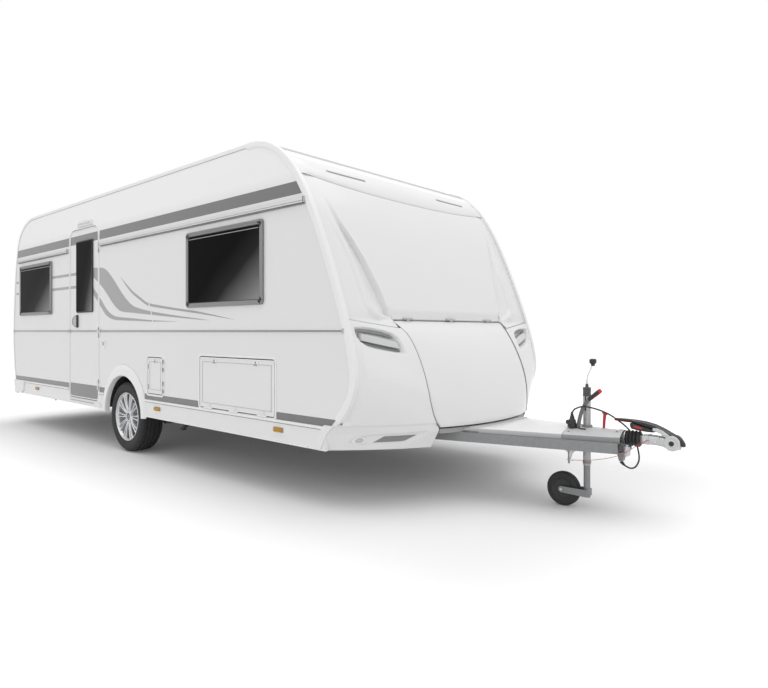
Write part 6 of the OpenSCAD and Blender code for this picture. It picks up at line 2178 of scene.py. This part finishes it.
laidOn("bandEndEdge", [(-0.872, 1.131), (-0.872, 1.172), (-0.1 - 0.7665, 1.172), (-0.1 - 0.7665, 1.131)],
       rearFace, -1, 0.0195, 0.003, frameGrey, edge=0.0005, cuts=(1, 1))
laidOn("bandEndInset", softOutline(-1.062, 1.152, 0.044, 0.034, (0.004,) * 4), rearFace, -1, 0.02, 0.0025,
       frameGrey, edge=0.001, cuts=(2, 1))

spoiler = {"low": 2.196, "sides": 0.052, "high": 2.4, "half": 1.122, "out": 0.034}


def spoilerLow(y):
    return spoiler["low"] + spoiler["sides"] * (abs(y) / spoiler["half"]) ** 2.5


def spoilerPoint(y, t):
    z = spoilerLow(y) + (spoiler["high"] - spoilerLow(y)) * t
    swell = math.sin(math.pi * min(1, t * 1.02)) ** 0.6 if 0 < t < 0.98 else 0
    ends = 1 - ease(0.95, 1.0, abs(y) / spoiler["half"])
    dip = 0.0
    near = (abs(y) - 0.33) / 0.6
    if 0 < near < 1:
        dip = 0.012 * math.exp(-((t - 0.62 - 0.04 * near) / 0.07) ** 2) * ease(0, 0.05,
                near) * (1 - ease(0.9, 1, near))
    if abs(y) < 0.235:
        dip = 0.006 * math.exp(-((t - 0.58) / 0.12) ** 4) * ease(0, 0.01, 0.235 - abs(y))
    return (rearFace(y, z) - 0.001 - (spoiler["out"] * swell - dip) * ends, y, z)


half = steps(0, spoiler["half"], 100)
ys = [-y for y in half[:0:-1]] + half
rowsT = [0, 0.02, 0.06, 0.12] + steps(0.2, 0.92, 40) + [0.96, 0.98, 1.0]
piece = loft("rearSpoiler", gridRows(ys, rowsT, lambda y, t: spoilerPoint(y, t)), ring=False, angle=60)
wear(settle(modify(piece, "SOLIDIFY", thickness=0.006, offset=-1), 50), "caravan", moulding)


def patch(name, y0, y1, t0, t1, slope, lift, finish, slot, cuts=24):
    # a thin piece that follows the spoiler
    def place(u, v):
        y = y0 + (y1 - y0) * u
        x, y, z = spoilerPoint(y, t0 + (t1 - t0) * v + slope * u)
        return (x - lift, y, z)
    one = loft(name, gridRows(steps(0, 1, cuts), steps(0, 1, 5), place), ring=False)
    return wear(settle(modify(one, "SOLIDIFY", thickness=0.003, offset=-1), 50), "caravan", finish)


patch("brakeLight", -0.222, 0.222, 0.5, 0.66, 0, 0.0035, redLens, "red_lens")
patch("spoilerSlotRight", -0.915, -0.35, 0.595, 0.65, -0.03, 0.0015, frameGrey, "grey_plastic")
patch("spoilerSlotLeft", 0.35, 0.915, 0.565, 0.62, 0.03, 0.0015, frameGrey, "grey_plastic")
seamLine = [(spoilerPoint(y, 0)[0] - 0.001, y, spoilerLow(y) - 0.003) for y in steps(-1.1, 1.1, 60)]
wear(cord3d("spoilerSeam", seamLine, 0.0016, 6), "caravan", softGrey)
laidOn("rearRoofLap", [(-1.118, 2.462), (-1.118, 2.482), (1.118, 2.482), (1.118, 2.462)], lambda y,
       z: rearAt(z), -1, -0.002, 0.005, ribWhite, sides=("middle",), edge=0.002,
       cuts=(12, 6))
print("upper rear finished")


# roof lights: framed, with a moulded lid crowned over the opening
roofLights = [   # name, x, side of the square lid
    ("front", 0.902, 0.7),
    ("rear", -2.233, 0.46),
]
for name, x, size in roofLights:
    rim = softRing(f"roofLightFrame.{name}", size, size, 0.045, 0.045, 0.024, 0.006)
    wear(face(rim, "top", (x, 0, roofZ)), "caravan", ribWhite)
    rows = []
    for share, high in ((1.0, 0.0), (1.006, 0.004), (1.004, 0.012), (0.985, 0.018), (0.94, 0.022),
                        (0.8, 0.0265), (0.76, 0.0285), (0.72, 0.03), (0.5, 0.0325), (0.25, 0.0345),
                        (0.02, 0.035)):
        ring = softOutline(0, 0, (size - 0.026) * share, (size - 0.026) * share, (0.05 * share,) * 4, 8)
        rows.append([Vector((x + u, v, roofZ + 0.0245 + high)) for u, v in ring])
    lid = loft(f"roofLightLid.{name}", rows, angle=50)
    wear(lid, "caravan", lightDome)
    if name == "front":
        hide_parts("roof_hatches")
    for sign in (-1, 1):
        rib = softPlate(f"roofLightRib.{name}.{sign}", size * 0.62, 0.022, 0.01, 0.006, 0.003)
        wear(face(rib, "top", (x, sign * size * 0.21, roofZ + 0.0245 + 0.03)), "caravan", lightDome)
# joint covers across the roof sheet
for k, x in enumerate((-2.95, -1.3, -0.05, 1.38)):
    strip = softPlate(f"roofJoint.{k}", 0.04, 2 * bodyHalf - 0.05, 0.004, 0.0022, 0.001)
    wear(face(strip, "top", (x, 0, roofZ - 0.0002)), "caravan", moulding)
print("roof finished")


# below the floor: a shock strut by each wheel, waste pipe and brake conduit
for side, tag in bothSides:
    strut = turnedAt("axleStrut" + tag, [(0.0, 0.0), (0.014, 0.0), (0.018, 0.004), (0.018, 0.052),
                                         (0.023, 0.056), (0.023, 0.108), (0.02, 0.112), (0.0, 0.112)],
                     (wheelX + 0.77, side * 0.96, 0.286), (0.62, 0, 0.5), 28)
    wear(strut, "caravan", blackPlastic)
    foot = swept("axleStrutFoot" + tag, [((wheelX + x, side * 0.96, z), (0, 0.016, 0), (0, 0, h)) for x, z,
                                         h in ((0.738, 0.282, 0.008), (0.752, 0.281, 0.011),
                                               (0.79, 0.284, 0.01))], 4)
    wear(foot, "caravan", blackPlastic)
    bracket = swept("axleStrutBracket" + tag, [((wheelX + 0.858, side * 0.96, z), (0.03, 0, 0),
                                                (0, 0.014, 0)) for z in (0.362, 0.385, 0.44, 0.53)], 5)
    wear(bracket, "caravan", blackPlastic)
pipe = cord3d("wastePipe", [(-1.25, 0.43, 0.5), (-1.25, 0.43, 0.47), (-1.262, 0.45, 0.452),
                            (-1.29, 0.52, 0.446), (-1.32, 0.76, 0.44), (-1.33, 0.9, 0.436),
                            (-1.332, 1.02, 0.432)], 0.02, 16)
wear(pipe, "caravan", greyPlastic)
duct = cord3d("brakeConduit", [(3.25, 0.02, 0.44), (2.9, 0.04, 0.43), (2.3, 0.06, 0.425), (1.5, 0.07, 0.42),
                               (0.5, 0.06, 0.415), (-0.3, 0.04, 0.405), (-0.5, 0.02, 0.372)], 0.009, 12)
wear(duct, "caravan", galvanised)

# spindle heads of the rear steadies, hanging beside their brackets
for side, tag in bothSides:
    hanger = swept("steadyHanger" + tag, [((-3.163, side * 0.881, z), (w, 0, 0), (0, 0.004, 0)) for z, w in (
        (0.29, 0.016), (0.3, 0.026), (0.36, 0.028), (0.44, 0.036), (0.492, 0.04))], 6)
    wear(hanger, "caravan", darkSteel)
    nut = turnedAt("steadyNut" + tag, [(0.0, 0.0), (0.012, 0.0), (0.013, 0.002), (0.013, 0.016),
                                       (0.019, 0.018), (0.019, 0.028), (0.0, 0.028)],
                   (-3.163, side * 0.884, 0.325), (0, side, 0), 6, 20)
    wear(nut, "caravan", galvanised)
print("underside fittings added")


# CAD nodes that keep their shape: a joined copy shades their curves, and each takes its own finish
keptShapes = [   # finish, slot, nodes
    (sheet, "body_sheet", ("wall_left", "wall_right", "roof_panel")),
    (moulding, "white_moulding", ("rear_panel", "skirts")),
    (doorSheet, "body_sheet", ("entrance_door", "garage_flap", "cassette_flap", "inlet_flap")),
    (moulding, "white_moulding", ("wall_hinges",)),
    (rail, "trim_aluminium", ("awning_rails",)),
    (wheelBoxSeal, "black_plastic", ("wheel_boxes",)),
    (galvanised, "galvanised_steel", (
        "chassis_rails", "cross_members", "drawbar_arms", "axle_tube", "swing_arms", "steady_brackets",
        "steady_front_left", "steady_front_right", "steady_rear_left", "steady_rear_right")),
    (underfloor, "underfloor", ("floor_panel",)),
    (galvanised, "galvanised_steel", ("overrun_device", "jockey_inner", "jockey_fork")),
]
bodyOf = {node: body for body, names in frame["record"]["behaviour"]["bodies"].items() for node in names}
for finish, slot, group in keptShapes:
    for node in group:
        piece = wear(smoothCopy("shape." + node, node), bodyOf[node], finish)
        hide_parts(node)
print("CAD shapes joined and finished")


# studio: a white floor and sky, with soft light from above
studio = {"floorSize": 70, "floorTone": 0.9, "nearLift": 0.04, "farLift": 0.4, "sky": 0.7,
          "reach": (3.2, 1.1), "fade": (0.05, 1.9)}
lamps = [   # name, place, aim, size, power
    ("overhead", (0.5, -1.0, 7.5), (0.2, -0.4, 0), (11, 8), 260),
    ("doorSide", (1.5, -9.5, 4.2), (-0.5, -1.1, 1.2), (10, 4), 50),
    ("noseSide", (10.5, 0.5, 4.0), (2.8, 0, 1.2), (7, 4), 60),
]


def studioShader(name, owner, shade):
    # shade(finish, watched) gives the shader; watched is 1 where the camera, a gloss or a pane looks
    f = Finish(name, owner)
    rays = f.node("ShaderNodeLightPath")
    watched = rays.out("Is Camera Ray")
    for other in ("Is Glossy Ray", "Is Transmission Ray"):
        watched = f.node("ShaderNodeMath", {"operation": "MAXIMUM"}, [watched, rays.out(other)])
    f.node("ShaderNodeOutputMaterial" if owner is None else "ShaderNodeOutputWorld", {},
           {"Surface": shade(f, watched)})
    return f.material


def floorWithPaintedShade(f, watched):
    matt = f.node("ShaderNodeBsdfDiffuse", {}, {"Color": tone(studio["floorTone"])})
    x, y = f.axes()[:2]
    beyond = [f.node("ShaderNodeMath", {"operation": "MAXIMUM"},
                     [f.node("ShaderNodeMath", {"operation": "ABSOLUTE"}, [a]) - reach, 0]) for a,
              reach in ((x, studio["reach"][0]), (y, studio["reach"][1]))]
    # painted shade: the white lift seen by the camera stays low round the caravan's footprint, darkening the floor
    # there, and rises to full white further away
    away = f.node("ShaderNodeMapRange", {"interpolation_type": "SMOOTHSTEP"},
                  {"Value": (beyond[0] ** 2 + beyond[1] ** 2) ** 0.5, "From Min": studio["fade"][0],
                   "From Max": studio["fade"][1], "To Min": studio["nearLift"],
                   "To Max": studio["farLift"]})
    lift = f.node("ShaderNodeEmission", {}, {"Color": tone(1), "Strength": watched * away})
    return f.node("ShaderNodeAddShader", {}, [matt, lift])


def skyShade(f, watched):
    strength = watched * (1 - studio["sky"]) + studio["sky"]
    return f.node("ShaderNodeBackground", {}, {"Color": tone(1), "Strength": strength})


onlyThis(None)
bpy.ops.mesh.primitive_plane_add(size=studio["floorSize"])
floor = rename(bpy.context.object, "studioFloor")
floor.data.materials.append(studioShader("floorPaint", None, floorWithPaintedShade))
scene.world = scene.world or bpy.data.worlds.new("sky")
studioShader("sky", scene.world, skyShade)
for name, place, aim, size, power in lamps:
    turn = (Vector(aim) - Vector(place)).to_track_quat("-Z", "Y").to_euler()
    bpy.ops.object.light_add(type="AREA", location=place, rotation=turn)
    lamp = bpy.context.object
    lamp.name = name
    lamp.data.shape = "RECTANGLE"
    lamp.data.size, lamp.data.size_y = size
    lamp.data.energy = power
    lamp.visible_camera = False
scene.view_settings.view_transform = "Standard"
print("studio set")

onlyThis(None)
bpy.context.view_layer.update()
